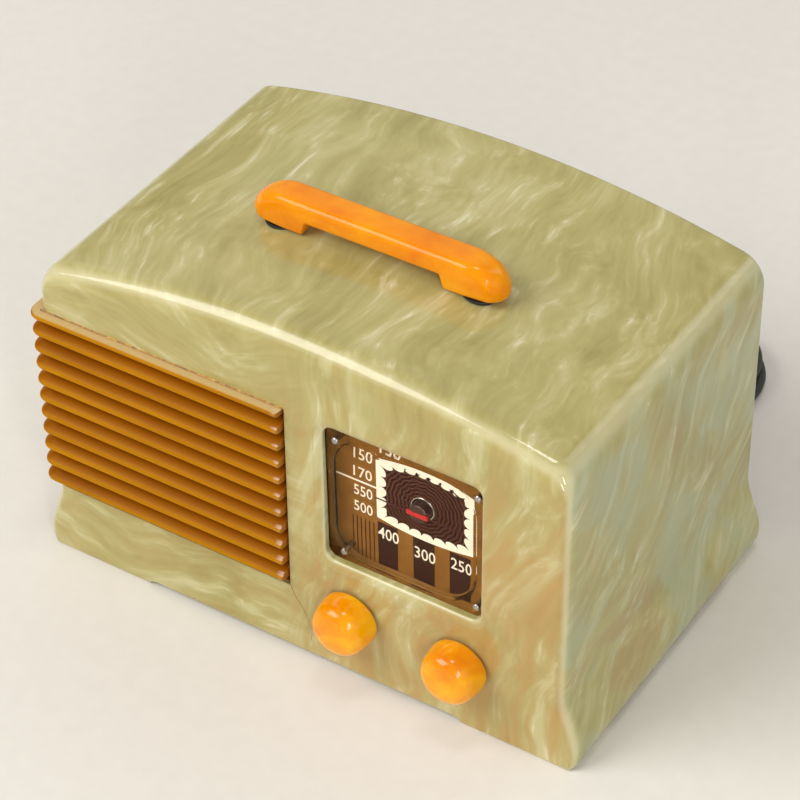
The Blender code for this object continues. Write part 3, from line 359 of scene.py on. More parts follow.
def castMarble():
    # cast phenolic resin, stirred in the mould and buffed: soft clouds and drawn-out wisps under a wet-looking gloss
    material, tree, surface = newFinish("castPhenolicMarbled", Roughness=0.1, IOR=1.45)
    coordinates = addNode(tree, "TexCoord")
    place = coordinates.outputs["Object"]
    axes = addNode(tree, "SeparateXYZ", inputs={0: place}).outputs
    facing = addNode(tree, "SeparateXYZ", inputs={0: coordinates.outputs["Normal"]}).outputs
    # two sizes of swirl, about 90 and 28 mm across, bend every pattern as the stirring did
    bent = place
    for size, reach in ((90.0, 60.0), (28.0, 12.0)):
        swirl = addNode(tree, "TexNoise", inputs={"Vector": bent, "Scale": 1 / (size * mm), "Detail": 1.5,
                                                  "Roughness": 0.45})
        bent = addNode(tree, "VectorMath", {"operation": "MULTIPLY_ADD"},
                       {0: swirl.outputs["Color"], 1: (reach * mm,) * 3, 2: bent}).outputs["Vector"]
    cloud = addNode(tree, "TexNoise", inputs={"Vector": bent, "Scale": 1 / (46.0 * mm), "Detail": 4.0,
                                              "Roughness": 0.55}).outputs["Fac"]
    aside = addNode(tree, "Math", {"operation": "ABSOLUTE"}, {0: facing["X"]}).outputs[0]
    ahead = addNode(tree, "Math", {"operation": "MULTIPLY"}, {0: facing["Y"], 1: -1.0}).outputs[0]
    masks = [addNode(tree, "MapRange", {"interpolation_type": "SMOOTHSTEP"},
                     {"Value": value, "From Min": first, "From Max": last}).outputs[0]
             for value, first, last in ((axes["X"], -0.014, 0.014), (aside, 0.5, 0.85), (facing["Z"], 0.5, 0.85),
                                        (ahead, 0.5, 0.85))]
    # the resin is drawn out across over the grille, upright on the rest of the front, aslant on the sides and
    # front to back on the top: bands about 10 mm wide, and wisps about 3 mm wide
    flows = []
    for across, along, detail in ((10.0, 66.0, 3.0), (3.4, 34.0, 3.0)):
        drawn = []
        for size, turn in (((along, across, across), (0.0, 0.0, 0.0)), ((across, across, along), (0.0, 0.15, 0.0)),
                           ((across, across, along), (-0.75, 0.0, 0.0)), ((across, along, across), (0.0, 0.0, 0.08))):
            laid = addNode(tree, "Mapping", {"vector_type": "TEXTURE"},
                           {"Vector": bent, "Rotation": turn, "Scale": tuple(v * mm for v in size)})
            drawn.append(addNode(tree, "TexNoise", inputs={"Vector": laid.outputs[0], "Scale": 1.0, "Detail": detail,
                                                           "Roughness": 0.55, "Distortion": 0.3}).outputs["Fac"])
        flow = addNode(tree, "Mix", inputs={0: masks[0], 2: drawn[0], 3: drawn[1]}).outputs[0]
        flow = addNode(tree, "Mix", inputs={0: masks[1], 2: flow, 3: drawn[2]}).outputs[0]
        flows.append(addNode(tree, "Mix", inputs={0: masks[2], 2: flow, 3: drawn[3]}).outputs[0])
    bands, wisps = flows
    tone = addNode(tree, "Mix", inputs={0: 0.5, 2: cloud, 3: bands}).outputs[0]
    tone = addNode(tree, "Mix", inputs={0: 0.22, 2: tone, 3: wisps}).outputs[0]
    colour = addNode(tree, "ValToRGB", inputs={"Fac": tone}, stops=(
        (0.36, "#998f52"), (0.68, "#cec694"), (0.44, "#a69c60"), (0.51, "#b0a66a"), (0.58, "#bab079"))).outputs["Color"]
    # patches about 35 mm across, and streaks that follow the bands: tan and cream on the front, mint and tan on
    # the sides; the front's tan fades out to the left, and upwards as painted sheen: the upper front is left paler
    high = addNode(tree, "MapRange", {"interpolation_type": "SMOOTHSTEP"},
                   {"Value": axes["Z"], "From Min": 0.13, "From Max": 0.1, "To Min": 0.3})
    left = addNode(tree, "MapRange", inputs={"Value": masks[0], "To Min": 0.35})
    tanWithPaintedSheen = addNode(tree, "Math", {"operation": "MULTIPLY"}, {0: high.outputs[0], 1: left.outputs[0]})
    tanWithPaintedSheen = addNode(tree, "Math", {"operation": "MULTIPLY"}, {0: tanWithPaintedSheen.outputs[0], 1: masks[3]}).outputs[0]
    patch = addNode(tree, "TexNoise", inputs={"Vector": bent, "Scale": 1 / (34.0 * mm), "Detail": 2.0}).outputs["Fac"]
    for mask, source, first, last, least, most, hue in (
            (tanWithPaintedSheen, patch, 0.42, 0.64, 0.2, 0.45, "#bb9359"), (tanWithPaintedSheen, bands, 0.52, 0.38, 0.0, 0.4, "#b98a4e"),
            (masks[3], bands, 0.52, 0.66, 0.0, 0.4, "#c8c597"), (masks[1], patch, 0.54, 0.36, 0.1, 0.6, "#abb595"),
            (masks[1], patch, 0.55, 0.68, 0.0, 0.4, "#a98a5c"), (masks[1], bands, 0.5, 0.72, 0.0, 0.55, "#b6c0a0")):
        seen = addNode(tree, "MapRange", {"interpolation_type": "SMOOTHSTEP"},
                       {"Value": source, "From Min": first, "From Max": last, "To Min": least, "To Max": most})
        share = addNode(tree, "Math", {"operation": "MULTIPLY"}, {0: seen.outputs[0], 1: mask})
        colour = addNode(tree, "Mix", mixing, {0: share.outputs[0], 6: colour, 7: linear(hue)}).outputs[2]
    # wisps are the crests of the fine flow: soft where it passes the first level, bright where it passes the second
    shown = addNode(tree, "MapRange", {"interpolation_type": "SMOOTHSTEP"},
                    {"Value": bands, "From Min": 0.42, "From Max": 0.62}).outputs[0]
    for first, last, most, hue in ((0.5, 0.68, 0.4, "#cfc79c"), (0.62, 0.74, 0.5, "#e2ddc0")):
        crest = addNode(tree, "MapRange", {"interpolation_type": "SMOOTHSTEP"},
                        {"Value": wisps, "From Min": first, "From Max": last, "To Max": most})
        share = addNode(tree, "Math", {"operation": "MULTIPLY"}, {0: crest.outputs[0], 1: shown})
        colour = addNode(tree, "Mix", mixing, {0: share.outputs[0], 6: colour, 7: linear(hue)}).outputs[2]
    # painted highlight: the rounded edges are painted paler, standing in for the light they catch; there no axis of the
    # normal is near one
    level = addNode(tree, "Math", {"operation": "ABSOLUTE"}, {0: facing["Z"]}).outputs[0]
    front = addNode(tree, "Math", {"operation": "ABSOLUTE"}, {0: facing["Y"]}).outputs[0]
    most = addNode(tree, "Math", {"operation": "MAXIMUM"}, {0: aside, 1: front}).outputs[0]
    most = addNode(tree, "Math", {"operation": "MAXIMUM"}, {0: most, 1: level}).outputs[0]
    edge = addNode(tree, "MapRange", {"interpolation_type": "SMOOTHSTEP"},
                   {"Value": most, "From Min": 0.96, "From Max": 0.74, "To Max": 0.42})
    colour = addNode(tree, "Mix", mixing, {0: edge.outputs[0], 6: colour, 7: linear("#e2dbb4")}).outputs[2]
    tree.links.new(colour, surface.inputs["Base Color"])
    # handling leaves slightly duller patches, and buffing leaves long, very shallow waves
    wear = addNode(tree, "MapRange", inputs={"Value": patch, "From Min": 0.3, "From Max": 0.7, "To Min": 0.06,
                                             "To Max": 0.13})
    tree.links.new(wear.outputs[0], surface.inputs["Roughness"])
    wave = addNode(tree, "TexNoise", inputs={"Vector": place, "Scale": 1 / (16.0 * mm), "Detail": 1.0})
    bump = addNode(tree, "Bump", inputs={"Strength": 0.05, "Distance": 0.0004, "Height": wave.outputs["Fac"]})
    tree.links.new(bump.outputs["Normal"], surface.inputs["Normal"])
    return material


def amberCast():
    # amber phenolic, painted darker deep between the fins and paler on their noses: painted shade in the grooves,
    # painted highlight on the noses, partly wear; the rail's top is painted pale tan, a painted reflection of the
    # cabinet
    material, tree, surface = newFinish("castPhenolicAmber", Roughness=0.3, IOR=1.12)
    place = addNode(tree, "TexCoord").outputs["Object"]
    axes = addNode(tree, "SeparateXYZ", inputs={0: place}).outputs
    # how far out of the cabinet's front or left face a point stands, in metres
    lean = addNode(tree, "Math", {"operation": "MULTIPLY_ADD"},
                   {0: axes["Z"], 1: cabinet["frontLean"], 2: cabinet["frontFoot"] * mm}).outputs[0]
    ahead = addNode(tree, "Math", {"operation": "SUBTRACT"}, {0: lean, 1: axes["Y"]}).outputs[0]
    aside = addNode(tree, "Math", {"operation": "SUBTRACT"}, {0: -cabinet["wallHalf"] * mm, 1: axes["X"]}).outputs[0]
    out = addNode(tree, "Math", {"operation": "MAXIMUM"}, {0: ahead, 1: aside}).outputs[0]
    # painted shade and highlight: the colour runs from dark in the grooves to pale at the noses
    depth = addNode(tree, "MapRange", inputs={"Value": out, "From Min": grille["webFront"] * mm,
                                              "From Max": grille["reach"] * mm})
    body = addNode(tree, "ValToRGB", inputs={"Fac": depth.outputs[0]},
                   stops=((0.0, "#6a3600"), (1.0, "#b87c06"), (0.4, "#864700"), (0.75, "#9e5c00")))
    stretched = addNode(tree, "Mapping", inputs={"Vector": place, "Scale": (9.0, 9.0, 60.0)})
    streak = addNode(tree, "TexNoise", inputs={"Vector": stretched.outputs[0], "Scale": 1.6, "Detail": 4.0})
    tone = addNode(tree, "MapRange", inputs={"Value": streak.outputs["Fac"], "From Min": 0.35, "From Max": 0.7,
                                             "To Max": 0.4})
    colour = addNode(tree, "Mix", mixing, {0: tone.outputs[0], 6: body.outputs["Color"],
                                           7: linear("#7c3e00")}).outputs[2]
    # painted reflection: the rail's flat top is painted pale tan where it mirrors the cabinet
    rail = addNode(tree, "MapRange", inputs={"Value": axes["Z"], "From Min": (grille["high"] - 0.75) * mm,
                                             "From Max": (grille["high"] - 0.45) * mm, "To Max": 0.75})
    colour = addNode(tree, "Mix", mixing, {0: rail.outputs[0], 6: colour, 7: linear("#cbb47e")}).outputs[2]
    tree.links.new(colour, surface.inputs["Base Color"])
    # the fins' right ends were never rubbed, so only they keep their first shine
    shine = addNode(tree, "MapRange", inputs={"Value": axes["X"], "From Min": (grille["right"] - 4.0) * mm,
                                              "From Max": (grille["right"] - 2.0) * mm})
    tree.links.new(shine.outputs[0], surface.inputs["Coat Weight"])
    return material


def orangeCast(name, dark, middle, light, **sockets):
    # clear orange phenolic with paler threads: reads as amber glass, so it keeps a high gloss and glows in its edges
    material, tree, surface = newFinish(name, **sockets)
    surface.inputs["Subsurface Weight"].default_value = 0.3
    surface.inputs["Subsurface Radius"].default_value = (1.0, 0.4, 0.05)
    surface.inputs["Subsurface Scale"].default_value = 0.005
    place = addNode(tree, "TexCoord").outputs["Object"]
    bend = addNode(tree, "TexNoise", inputs={"Vector": place, "Scale": 40.0, "Detail": 2.0})
    curled = addNode(tree, "VectorMath", {"operation": "MULTIPLY_ADD"},
                     {0: bend.outputs["Color"], 1: (0.02, 0.02, 0.02), 2: place}).outputs["Vector"]
    cloud = addNode(tree, "TexNoise", inputs={"Vector": curled, "Scale": 55.0, "Detail": 4.0, "Roughness": 0.55})
    body = addNode(tree, "ValToRGB", inputs={"Fac": cloud.outputs["Fac"]},
                   stops=((0.3, dark), (0.72, light), (0.5, middle)))
    tree.links.new(body.outputs["Color"], surface.inputs["Base Color"])
    wave = addNode(tree, "TexNoise", inputs={"Vector": place, "Scale": 90.0, "Detail": 1.0})
    bump = addNode(tree, "Bump", inputs={"Strength": 0.06, "Distance": 0.0004, "Height": wave.outputs["Fac"]})
    tree.links.new(bump.outputs["Normal"], surface.inputs["Normal"])
    return material


def grained(name, dark, light, grain, bumpDepth=0.0, stretch=(1.0, 1.0, 1.0), **sockets):
    # a plain finish with its own grain: a noise of that size in mm tints it and raises it by bumpDepth mm
    material, tree, surface = newFinish(name, **sockets)
    place = addNode(tree, "TexCoord").outputs["Object"]
    turned = addNode(tree, "Mapping", inputs={"Vector": place, "Scale": stretch})
    noise = addNode(tree, "TexNoise", inputs={"Vector": turned.outputs[0], "Scale": 1 / (grain * mm), "Detail": 4.0,
                                              "Roughness": 0.6})
    shade = addNode(tree, "ValToRGB", inputs={"Fac": noise.outputs["Fac"]}, stops=((0.3, dark), (0.7, light)))
    tree.links.new(shade.outputs["Color"], surface.inputs["Base Color"])
    rough = surface.inputs["Roughness"].default_value
    wear = addNode(tree, "MapRange", inputs={"Value": noise.outputs["Fac"], "From Min": 0.3, "From Max": 0.7,
                                             "To Min": rough * 0.85, "To Max": min(rough * 1.2, 1.0)})
    tree.links.new(wear.outputs[0], surface.inputs["Roughness"])
    if bumpDepth:
        bump = addNode(tree, "Bump", inputs={"Strength": 1.0, "Distance": bumpDepth * mm,
                                             "Height": noise.outputs["Fac"]})
        tree.links.new(bump.outputs["Normal"], surface.inputs["Normal"])
    return material


finishes = {}


def mixFinishes():
    finishes.update({
        "castMarble": castMarble(),
        "amberCast": amberCast(),
        "handleCast": orangeCast("castPhenolicOrange", "#e67e00", "#ef9000", "#f8a402", Roughness=0.06, IOR=1.34),
        "knobCast": orangeCast("castPhenolicYellow", "#e27e00", "#f09c00", "#ffc408", Roughness=0.04, IOR=1.45),
        "vulcanisedRubber": grained("vulcanisedRubber", "#23251f", "#34372f", 1.2, 0.05, Roughness=0.55),
        "blackTape": grained("blackTape", "#141413", "#232220", 0.6, 0.06, Roughness=0.7),
        "mouldedPhenolic": grained("mouldedPhenolic", "#2a1710", "#40251a", 3.0, Roughness=0.32),
        "nickelBrass": grained("nickelBrass", "#b5a273", "#d6c692", 1.5, Roughness=0.28, Metallic=1.0),
        "nickelPlate": grained("nickelPlate", "#9a8f86", "#c2b8b0", 1.0, Roughness=0.3, Metallic=1.0),
        "blackFibre": grained("blackFibre", "#161615", "#262523", 0.8, 0.04, Roughness=0.6),
        "zincSteel": grained("zincSteel", "#8e8c85", "#b4b2aa", 2.5, Roughness=0.4, Metallic=1.0),
        "nickelSteel": grained("nickelSteel", "#a9a8a3", "#cfcec8", 1.0, Roughness=0.22, Metallic=1.0),
        "spunAluminium": grained("spunAluminium", "#b9babb", "#d6d7d8", 1.2, Roughness=0.34, Metallic=1.0,
                                 stretch=(1.0, 1.0, 0.15)),
        "cabinetBoard": grained("cabinetBoard", "#4a3220", "#6f4f33", 1.6, 0.08, Roughness=0.82),
        "cardPrint": grained("cardPrint", "#714a1a", "#865c24", 4.0, Roughness=0.7, IOR=1.2),
        "darkInk": grained("darkInk", "#2c140b", "#3a1e12", 2.0, Roughness=0.7, IOR=1.2),
        "creamInk": grained("creamInk", "#e2d9c6", "#f2ebdc", 1.0, Roughness=0.55),
        "redLacquer": grained("redLacquer", "#9c0a0e", "#bc1816", 2.0, Roughness=0.3),
        # painted shade: the needle's red, made darker than the bar's
        "shadedNeedleLacquer": grained("shadedNeedleLacquer", "#3a0c0a", "#521412", 2.0, Roughness=0.5),
        "pulpPaper": grained("pulpPaper", "#26211c", "#3a332b", 0.9, 0.1, Roughness=0.95),
        "ironLaminate": grained("ironLaminate", "#2b2a28", "#46443f", 1.0, 0.03, Roughness=0.55, Metallic=0.6),
        "waxedPaper": grained("waxedPaper", "#5e3f22", "#7c5733", 2.0, Roughness=0.6),
        "waxedLinen": grained("waxedLinen", "#7d6a44", "#a08b60", 0.4, 0.03, Roughness=0.85),
        "enamelledCopper": grained("enamelledCopper", "#7c3a1c", "#a75a30", 1.0, Roughness=0.3, Metallic=0.9),
        "blownGlass": grained("blownGlass", "#dfe5e3", "#f2f6f5", 8.0, Roughness=0.05, IOR=1.5),
        "pressedAcetate": grained("pressedAcetate", "#f1ece0", "#fbf8f1", 10.0, Roughness=0.04, IOR=1.1),
        # painted glints: a dark joint colour broken by bright amber spots
        "glueAndGlintAmber": grained("glueAndGlintAmber", "#5a330c", "#e2a23a", 3.0, 0.1, Roughness=0.18),
        "crackStain": grained("crackStain", "#7a3a22", "#9c5638", 2.0, Roughness=0.5),
        "speakerWeave": weave(),
        "ripplePrint": ripples(),
    })
    for name in ("blownGlass", "pressedAcetate"):
        finishes[name].node_tree.nodes["Principled BSDF"].inputs["Transmission Weight"].default_value = 1.0


def weave():
    # plain weave of brown cotton, 0.8 mm from thread to thread, drawn on the sheet's own map
    material, tree, surface = newFinish("cottonWeave", Roughness=0.95)
    spot = addNode(tree, "UVMap", {"uv_map": "weave"}).outputs[0]
    axes = addNode(tree, "SeparateXYZ", inputs={0: spot})
    waves = []
    for axis in ("X", "Y"):
        turn = addNode(tree, "Math", {"operation": "MULTIPLY"}, {0: axes.outputs[axis], 1: float(np.pi / 0.0008)})
        waves.append(addNode(tree, "Math", {"operation": "SINE"}, {0: turn.outputs[0]}).outputs[0])
    over = addNode(tree, "Math", {"operation": "MULTIPLY"}, {0: waves[0], 1: waves[1]})
    shade = addNode(tree, "ValToRGB", inputs={"Fac": addNode(tree, "MapRange", inputs={
        "Value": over.outputs[0], "From Min": -1.0, "From Max": 1.0}).outputs[0]},
        stops=((0.1, "#2e1e0e"), (0.9, "#6d4f29")))
    tree.links.new(shade.outputs["Color"], surface.inputs["Base Color"])
    bump = addNode(tree, "Bump", inputs={"Strength": 0.6, "Distance": 0.0003, "Height": over.outputs[0]})
    tree.links.new(bump.outputs["Normal"], surface.inputs["Normal"])
    return material


def ripples():
    # rings 1.6 mm apart round the pointer's shaft, printed dark on brown and broken like ripples
    material, tree, surface = newFinish("ripplePrint", Roughness=0.7, IOR=1.2)
    place = addNode(tree, "TexCoord").outputs["Object"]
    shaft = (-dial["x"] * mm, -dial["cardY"] * mm, -dial["z"] * mm)
    centred = addNode(tree, "Mapping", inputs={"Vector": place, "Location": shaft})
    axes = addNode(tree, "SeparateXYZ", inputs={0: centred.outputs[0]})
    around = addNode(tree, "Math", {"operation": "ARCTAN2"}, {0: axes.outputs["Z"], 1: axes.outputs["X"]})
    far = addNode(tree, "VectorMath", {"operation": "LENGTH"}, {0: centred.outputs[0]})
    petals = addNode(tree, "Math", {"operation": "MULTIPLY"}, {0: around.outputs[0], 1: 16.0})
    lobe = addNode(tree, "Math", {"operation": "SINE"}, {0: petals.outputs[0]})
    reach = addNode(tree, "Math", {"operation": "MULTIPLY_ADD"},
                    {0: lobe.outputs[0], 1: 0.00022, 2: far.outputs["Value"]})
    turn = addNode(tree, "Math", {"operation": "MULTIPLY"}, {0: reach.outputs[0], 1: fullTurn / 0.0016})
    ring = addNode(tree, "Math", {"operation": "SINE"}, {0: turn.outputs[0]})
    level = addNode(tree, "MapRange", inputs={"Value": ring.outputs[0], "From Min": -1.0, "From Max": 1.0})
    shade = addNode(tree, "ValToRGB", inputs={"Fac": level.outputs[0]}, stops=((0.3, "#260d06"), (0.8, "#523020")))
    tree.links.new(shade.outputs["Color"], surface.inputs["Base Color"])
    return material


# Cabinet

cabinet = {"wallHalf": 109.0, "wall": 5.0, "flareOut": 6.3, "flareLow": 8.0, "flareHigh": 33.0, "frontFoot": -63.4,
           "frontLean": 0.017, "backFace": 75.7, "crownTop": 144.9, "crownRadius": 440.0, "shoulder": 12.0,
           "toe": 4.0, "floorTop": 8.0, "floorBottom": 2.6, "rebateY": 72.6, "rebateDepth": 2.8,
           "bossX": 98.8, "bossZ": (18.0, 110.0)}
grille = {"right": -3.6, "low": 31.5, "high": 113.3, "leftEnd": -17.0, "finFirst": 104.4, "finPitch": 7.55,
          "finCount": 10, "reach": 3.6, "webFront": -3.0, "webBack": -5.4, "flangeBack": -7.4}
window = {"x": (11.3, 74.8), "z": (51.5, 111.6), "lipDeep": 2.0, "lipWide": 4.4, "corner": 4.0,
          "pocketX": (7.6, 78.8), "pocketZ": (47.8, 115.4), "pocketY": -58.9}
knobs = {"z": 29.8, "volumeX": 22.7, "tuningX": 67.9, "base": -63.9, "front": -76.5, "rim": 11.4, "bore": 3.2,
         "boreFront": -73.0}


def frontY(z):
    return cabinet["frontFoot"] + cabinet["frontLean"] * z


def crownZ(x):
    return cabinet["crownTop"] - cabinet["crownRadius"] + np.sqrt(cabinet["crownRadius"] ** 2 - np.square(x))


def shoulderCentre():
    reach, x = cabinet["crownRadius"] - cabinet["shoulder"], cabinet["wallHalf"] - cabinet["shoulder"]
    z = cabinet["crownTop"] - cabinet["crownRadius"] + np.sqrt(reach ** 2 - x * x)
    return x, z, np.degrees(np.arcsin(x / reach))


def mirrored(half):
    return np.concatenate([half, half[-2:0:-1] * (-1, 1)])


def cabinetOutline():
    # seen from the front: an oval toe, an S curve up to the wall, a round shoulder and a shallow crown
    x, z, lean = shoulderCentre()
    tip = cabinet["wallHalf"] + cabinet["flareOut"] - cabinet["toe"]
    turn = np.linspace(0, np.pi / 2, 13)
    toe = np.stack([tip + cabinet["toe"] * np.sin(turn), cabinet["flareLow"] * (1 - np.cos(turn))], -1)
    fall = 1 - np.arange(1, 25) / 24
    flare = np.stack([cabinet["wallHalf"] + cabinet["flareOut"] * fall * fall * (3 - 2 * fall),
                      cabinet["flareHigh"] - (cabinet["flareHigh"] - cabinet["flareLow"]) * fall], -1)
    upright = np.stack([np.full(7, cabinet["wallHalf"]), np.linspace(cabinet["flareHigh"], z, 9)[1:-1]], -1)
    middle = cabinet["crownTop"] - cabinet["crownRadius"]
    crown = arcLine(0, middle, cabinet["crownRadius"], 90 - lean, 90, 20)[1:]
    half = np.concatenate([[(0, 0), (40.0, 0), (80.0, 0)], toe, flare, upright,
                           arcLine(x, z, cabinet["shoulder"], 0, 90 - lean, 16), crown])
    line = mirrored(half)
    along = np.roll(line, -1, 0) - np.roll(line, 1, 0)
    along /= np.linalg.norm(along, axis=1, keepdims=True)
    return line, np.stack([along[:, 1], -along[:, 0]], -1)


def innerOutline(depth, low):
    x, z, lean = shoulderCentre()
    middle, corner = cabinet["crownTop"] - cabinet["crownRadius"], 3.0
    right = np.concatenate([arcLine(cabinet["wallHalf"] - depth - corner, low + corner, corner, -90, 0, 4),
                            arcLine(x, z, cabinet["shoulder"] - depth, 0, 90 - lean, 8),
                            arcLine(0, middle, cabinet["crownRadius"] - depth, 90 - lean, 90, 12)[1:]])
    return np.concatenate([right, right[-2::-1] * (-1, 1)])


def makeCabinet():
    line, out = cabinetOutline()
    # the front edge is a quarter round: 8 mm along the top, 4.5 down the sides, 1.5 along the base
    up = out[:, 1]
    radius = np.where(up > 0, 4.5 + 3.5 * up, 4.5 + 3.0 * up)
    rings = []
    for turn in np.linspace(0, np.pi / 2, 13):
        inside = line - out * (radius * (1 - np.sin(turn)))[:, None]
        rings.append(atDepth(inside, frontY(inside[:, 1]) + radius * (1 - np.cos(turn))))
    for turn in np.linspace(0, np.pi / 2, 6):
        inside = line - out * 1.8 * (1 - np.cos(turn))
        rings.append(atDepth(inside, cabinet["backFace"] - 1.8 * (1 - np.sin(turn))))
    shell = ringSolid("cabinetShell", rings, finishes["castMarble"])
    before, beyond, outside, insideFront = -76.0, 81.0, 130.0, -52.0
    hollow = innerOutline(cabinet["wall"], cabinet["floorTop"])
    innerFront = frontY(hollow[:, 1]) + cabinet["wall"]
    carve(shell, ringSolid("hollow", [atDepth(hollow, innerFront), atDepth(hollow, beyond)]))
    rebate = innerOutline(cabinet["rebateDepth"], cabinet["floorTop"] + cabinet["rebateDepth"] - cabinet["wall"])
    carve(shell, ringSolid("rebate", [atDepth(rebate, y) for y in (cabinet["rebateY"], beyond)]))
    for x in (-cabinet["bossX"], cabinet["bossX"]):
        for z in cabinet["bossZ"]:
            boss = [(0, 52.0), (6.2, 52.0), (6.2, cabinet["rebateY"] - 0.1), (0, cabinet["rebateY"] - 0.1)]
            carve(shell, turnedPiece("boss", boss, (x, 0, z), "y", steps=32), "UNION")
            pilot = [(0, 60.0), (1.7, 60.0), (1.7, beyond), (0, beyond)]
            carve(shell, turnedPiece("pilot", pilot, (x, 0, z), "y", steps=16))
    corner = arcLine(grille["right"] - 0.8, grille["high"] - 0.8, 0.8, 0, 90, 4)
    opening = np.concatenate([corner, [(-outside, grille["high"]), (-outside, grille["low"]),
                                       (grille["right"], grille["low"])]])
    carve(shell, ringSolid("frontOpening", [atDepth(opening, y) for y in (before, insideFront)]))
    sideReach = (-outside, 2 * cabinet["wall"] - cabinet["wallHalf"])
    carve(shell, blocks("sideOpening", [(sideReach, (before, grille["leftEnd"]), (grille["low"], grille["high"]))]))
    carve(shell, windowTool())
    pocket = roundedBox(window["pocketX"], window["pocketZ"], 3.4)
    carve(shell, ringSolid("lensPocket", [atDepth(pocket, y) for y in (window["pocketY"], insideFront + 1.5)]))
    for x in (knobs["volumeX"], knobs["tuningX"]):
        carve(shell, turnedPiece("shaftHole", [(0, before), (5.2, before), (5.2, insideFront), (0, insideFront)],
                                 (x, 0, knobs["z"]), "y", steps=32))
    for side in (-1, 1):
        carve(shell, turnedPiece("handleHole", [(0, 120.0), (2.5, 120.0), (2.5, 150.0), (0, 150.0)],
                                 (side * handle["footX"], handle["y"], 0), "z", steps=24))
        carve(shell, turnedPiece("screwHole", [(0, -2.0), (2.4, -2.0), (2.4, 12.0), (0, 12.0)],
                                 (side * 80.0, 30.0, 0), "z", steps=24))
    arch = np.array([(-71, -1.0), (-67, 2.1), (-65, 2.6), (65, 2.6), (67, 2.1), (71, -1.0)])
    carve(shell, ringSolid("frontArch", [atDepth(arch, y) for y in (before, beyond)]))
    arch = np.array([(-40, -1.0), (-36, 1.7), (-34, 2.1), (46, 2.1), (48, 1.7), (52, -1.0)])
    arches = [np.stack([np.full(6, x), arch[:, 0], arch[:, 1]], -1) for x in (-outside, outside)]
    carve(shell, ringSolid("sideArch", arches))
    smoothFaces(shell)
    even = shell.modifiers.new("even", "WEIGHTED_NORMAL")  # keeps the flat faces flat beside their round edges
    even.keep_sharp, even.weight = True, 80
    stand(shell, "radio", "pale_phenolic", "cabinet")
    makeCrack()
    print("cabinet:", len(shell.data.polygons), "faces")


def windowTool():
    # the window's mouth opens through a quarter of an oval
    rings, deep = [], window["lipDeep"]
    for depth in np.concatenate([[-4.0], deep * (1 - np.cos(np.linspace(0.25, np.pi / 2, 16))), [9.0]]):
        left = 1 - np.clip(depth, 0.06, deep) / deep
        grow = window["lipWide"] * (1 - np.sqrt(1 - left ** 2))
        ring = roundedBox((window["x"][0] - grow, window["x"][1] + grow),
                          (window["z"][0] - grow, window["z"][1] + grow), window["corner"] + grow)
        rings.append(atDepth(ring, frontY(ring[:, 1]) + depth))
    return ringSolid("windowMouth", rings)


crack = {"route": ((-3.5, 31.4), (-1.4, 26.8), (0.2, 24.6), (2.3, 21.2), (3.9, 17.1), (5.1, 12.7), (4.5, 8.4)),
         "width": 0.16, "stand": 0.02}


def makeCrack():
    # an old hairline from the grille's corner: a strip that tapers to its lower end
    path = smoothCurve(crack["route"], 6)
    wander = 0.12 * np.sin(np.arange(len(path)) * 2.4)
    half = crack["width"] * np.linspace(1.0, 0.4, len(path))
    sides = np.stack([path[:, 0] + wander - half, path[:, 0] + wander + half], -1)
    rows = []
    level = np.broadcast_to(path[:, 1:], sides.shape)
    for depth in (-crack["stand"], crack["stand"]):
        rows.append(np.stack([sides, frontY(level) + depth, level], -1))
    rings = np.concatenate([rows[0], rows[1][:, ::-1]], 1)
    piece = ringSolid("hairline", rings, finishes["crackStain"])
    stand(piece, "radio", "pale_phenolic")


# Grille

# the bead along the rail's top joint, whose bright spots are painted glints
bead = {"x": (-108.0, -4.4), "steps": 140, "sink": 0.1, "wander": 0.12, "radius": 0.3, "sides": 8}


def grillePath(out, z):
    # one level of the grille: from its right end round the front left corner and back along the side
    y, corner, half = frontY(z), 2.0, cabinet["wallHalf"]
    radius = max(corner + out, 0.0)
    centre = corner if radius else -out
    bend = arcLine(centre - half, y + centre, radius, 270, 180, 12)
    front = np.array([(x, y - out) for x in (-35.0, -70.0, -100.0)])
    side = np.array([(-half - out, v) for v in (-40.0, grille["leftEnd"] - 0.5)])
    return np.concatenate([front, bend, side])


def finProfile():
    # each fin slopes down to a round nose and is undercut beneath; a rail runs along the top
    top, low, reach, root = grille["high"] - 0.4, grille["low"] + 0.4, grille["reach"], grille["webFront"]
    line = [(grille["flangeBack"], grille["low"] - 3.5), (grille["flangeBack"], grille["high"] + 3.3),
            (grille["webBack"], grille["high"] + 3.3), (grille["webBack"], top)]
    nose = smoothCurve([(reach - 0.9, top), (reach - 0.2, top - 0.35), (reach + 0.15, top - 1.1),
                        (reach - 0.25, top - 1.9), (reach - 0.9, top - 2.1)], 3)
    line += [*nose.tolist(), (root, top - 2.6)]
    for k in range(grille["finCount"]):
        tip = grille["finFirst"] - grille["finPitch"] * k
        nose = smoothCurve([(reach - 1.1, tip + 1.4), (reach - 0.35, tip + 0.8), (reach, tip - 0.05),
                            (reach - 0.25, tip - 0.7), (reach - 0.8, tip - 0.9)], 3)
        line += [(root, tip + 4.2), (root + 1.5, tip + 3.35), *nose.tolist(), (root, tip - 1.3)]
    line += [(root, low + 1.3), (-0.8, low + 0.7), (-0.8, low), (grille["webBack"], low),
             (grille["webBack"], grille["low"] - 3.5)]
    return np.array(line)


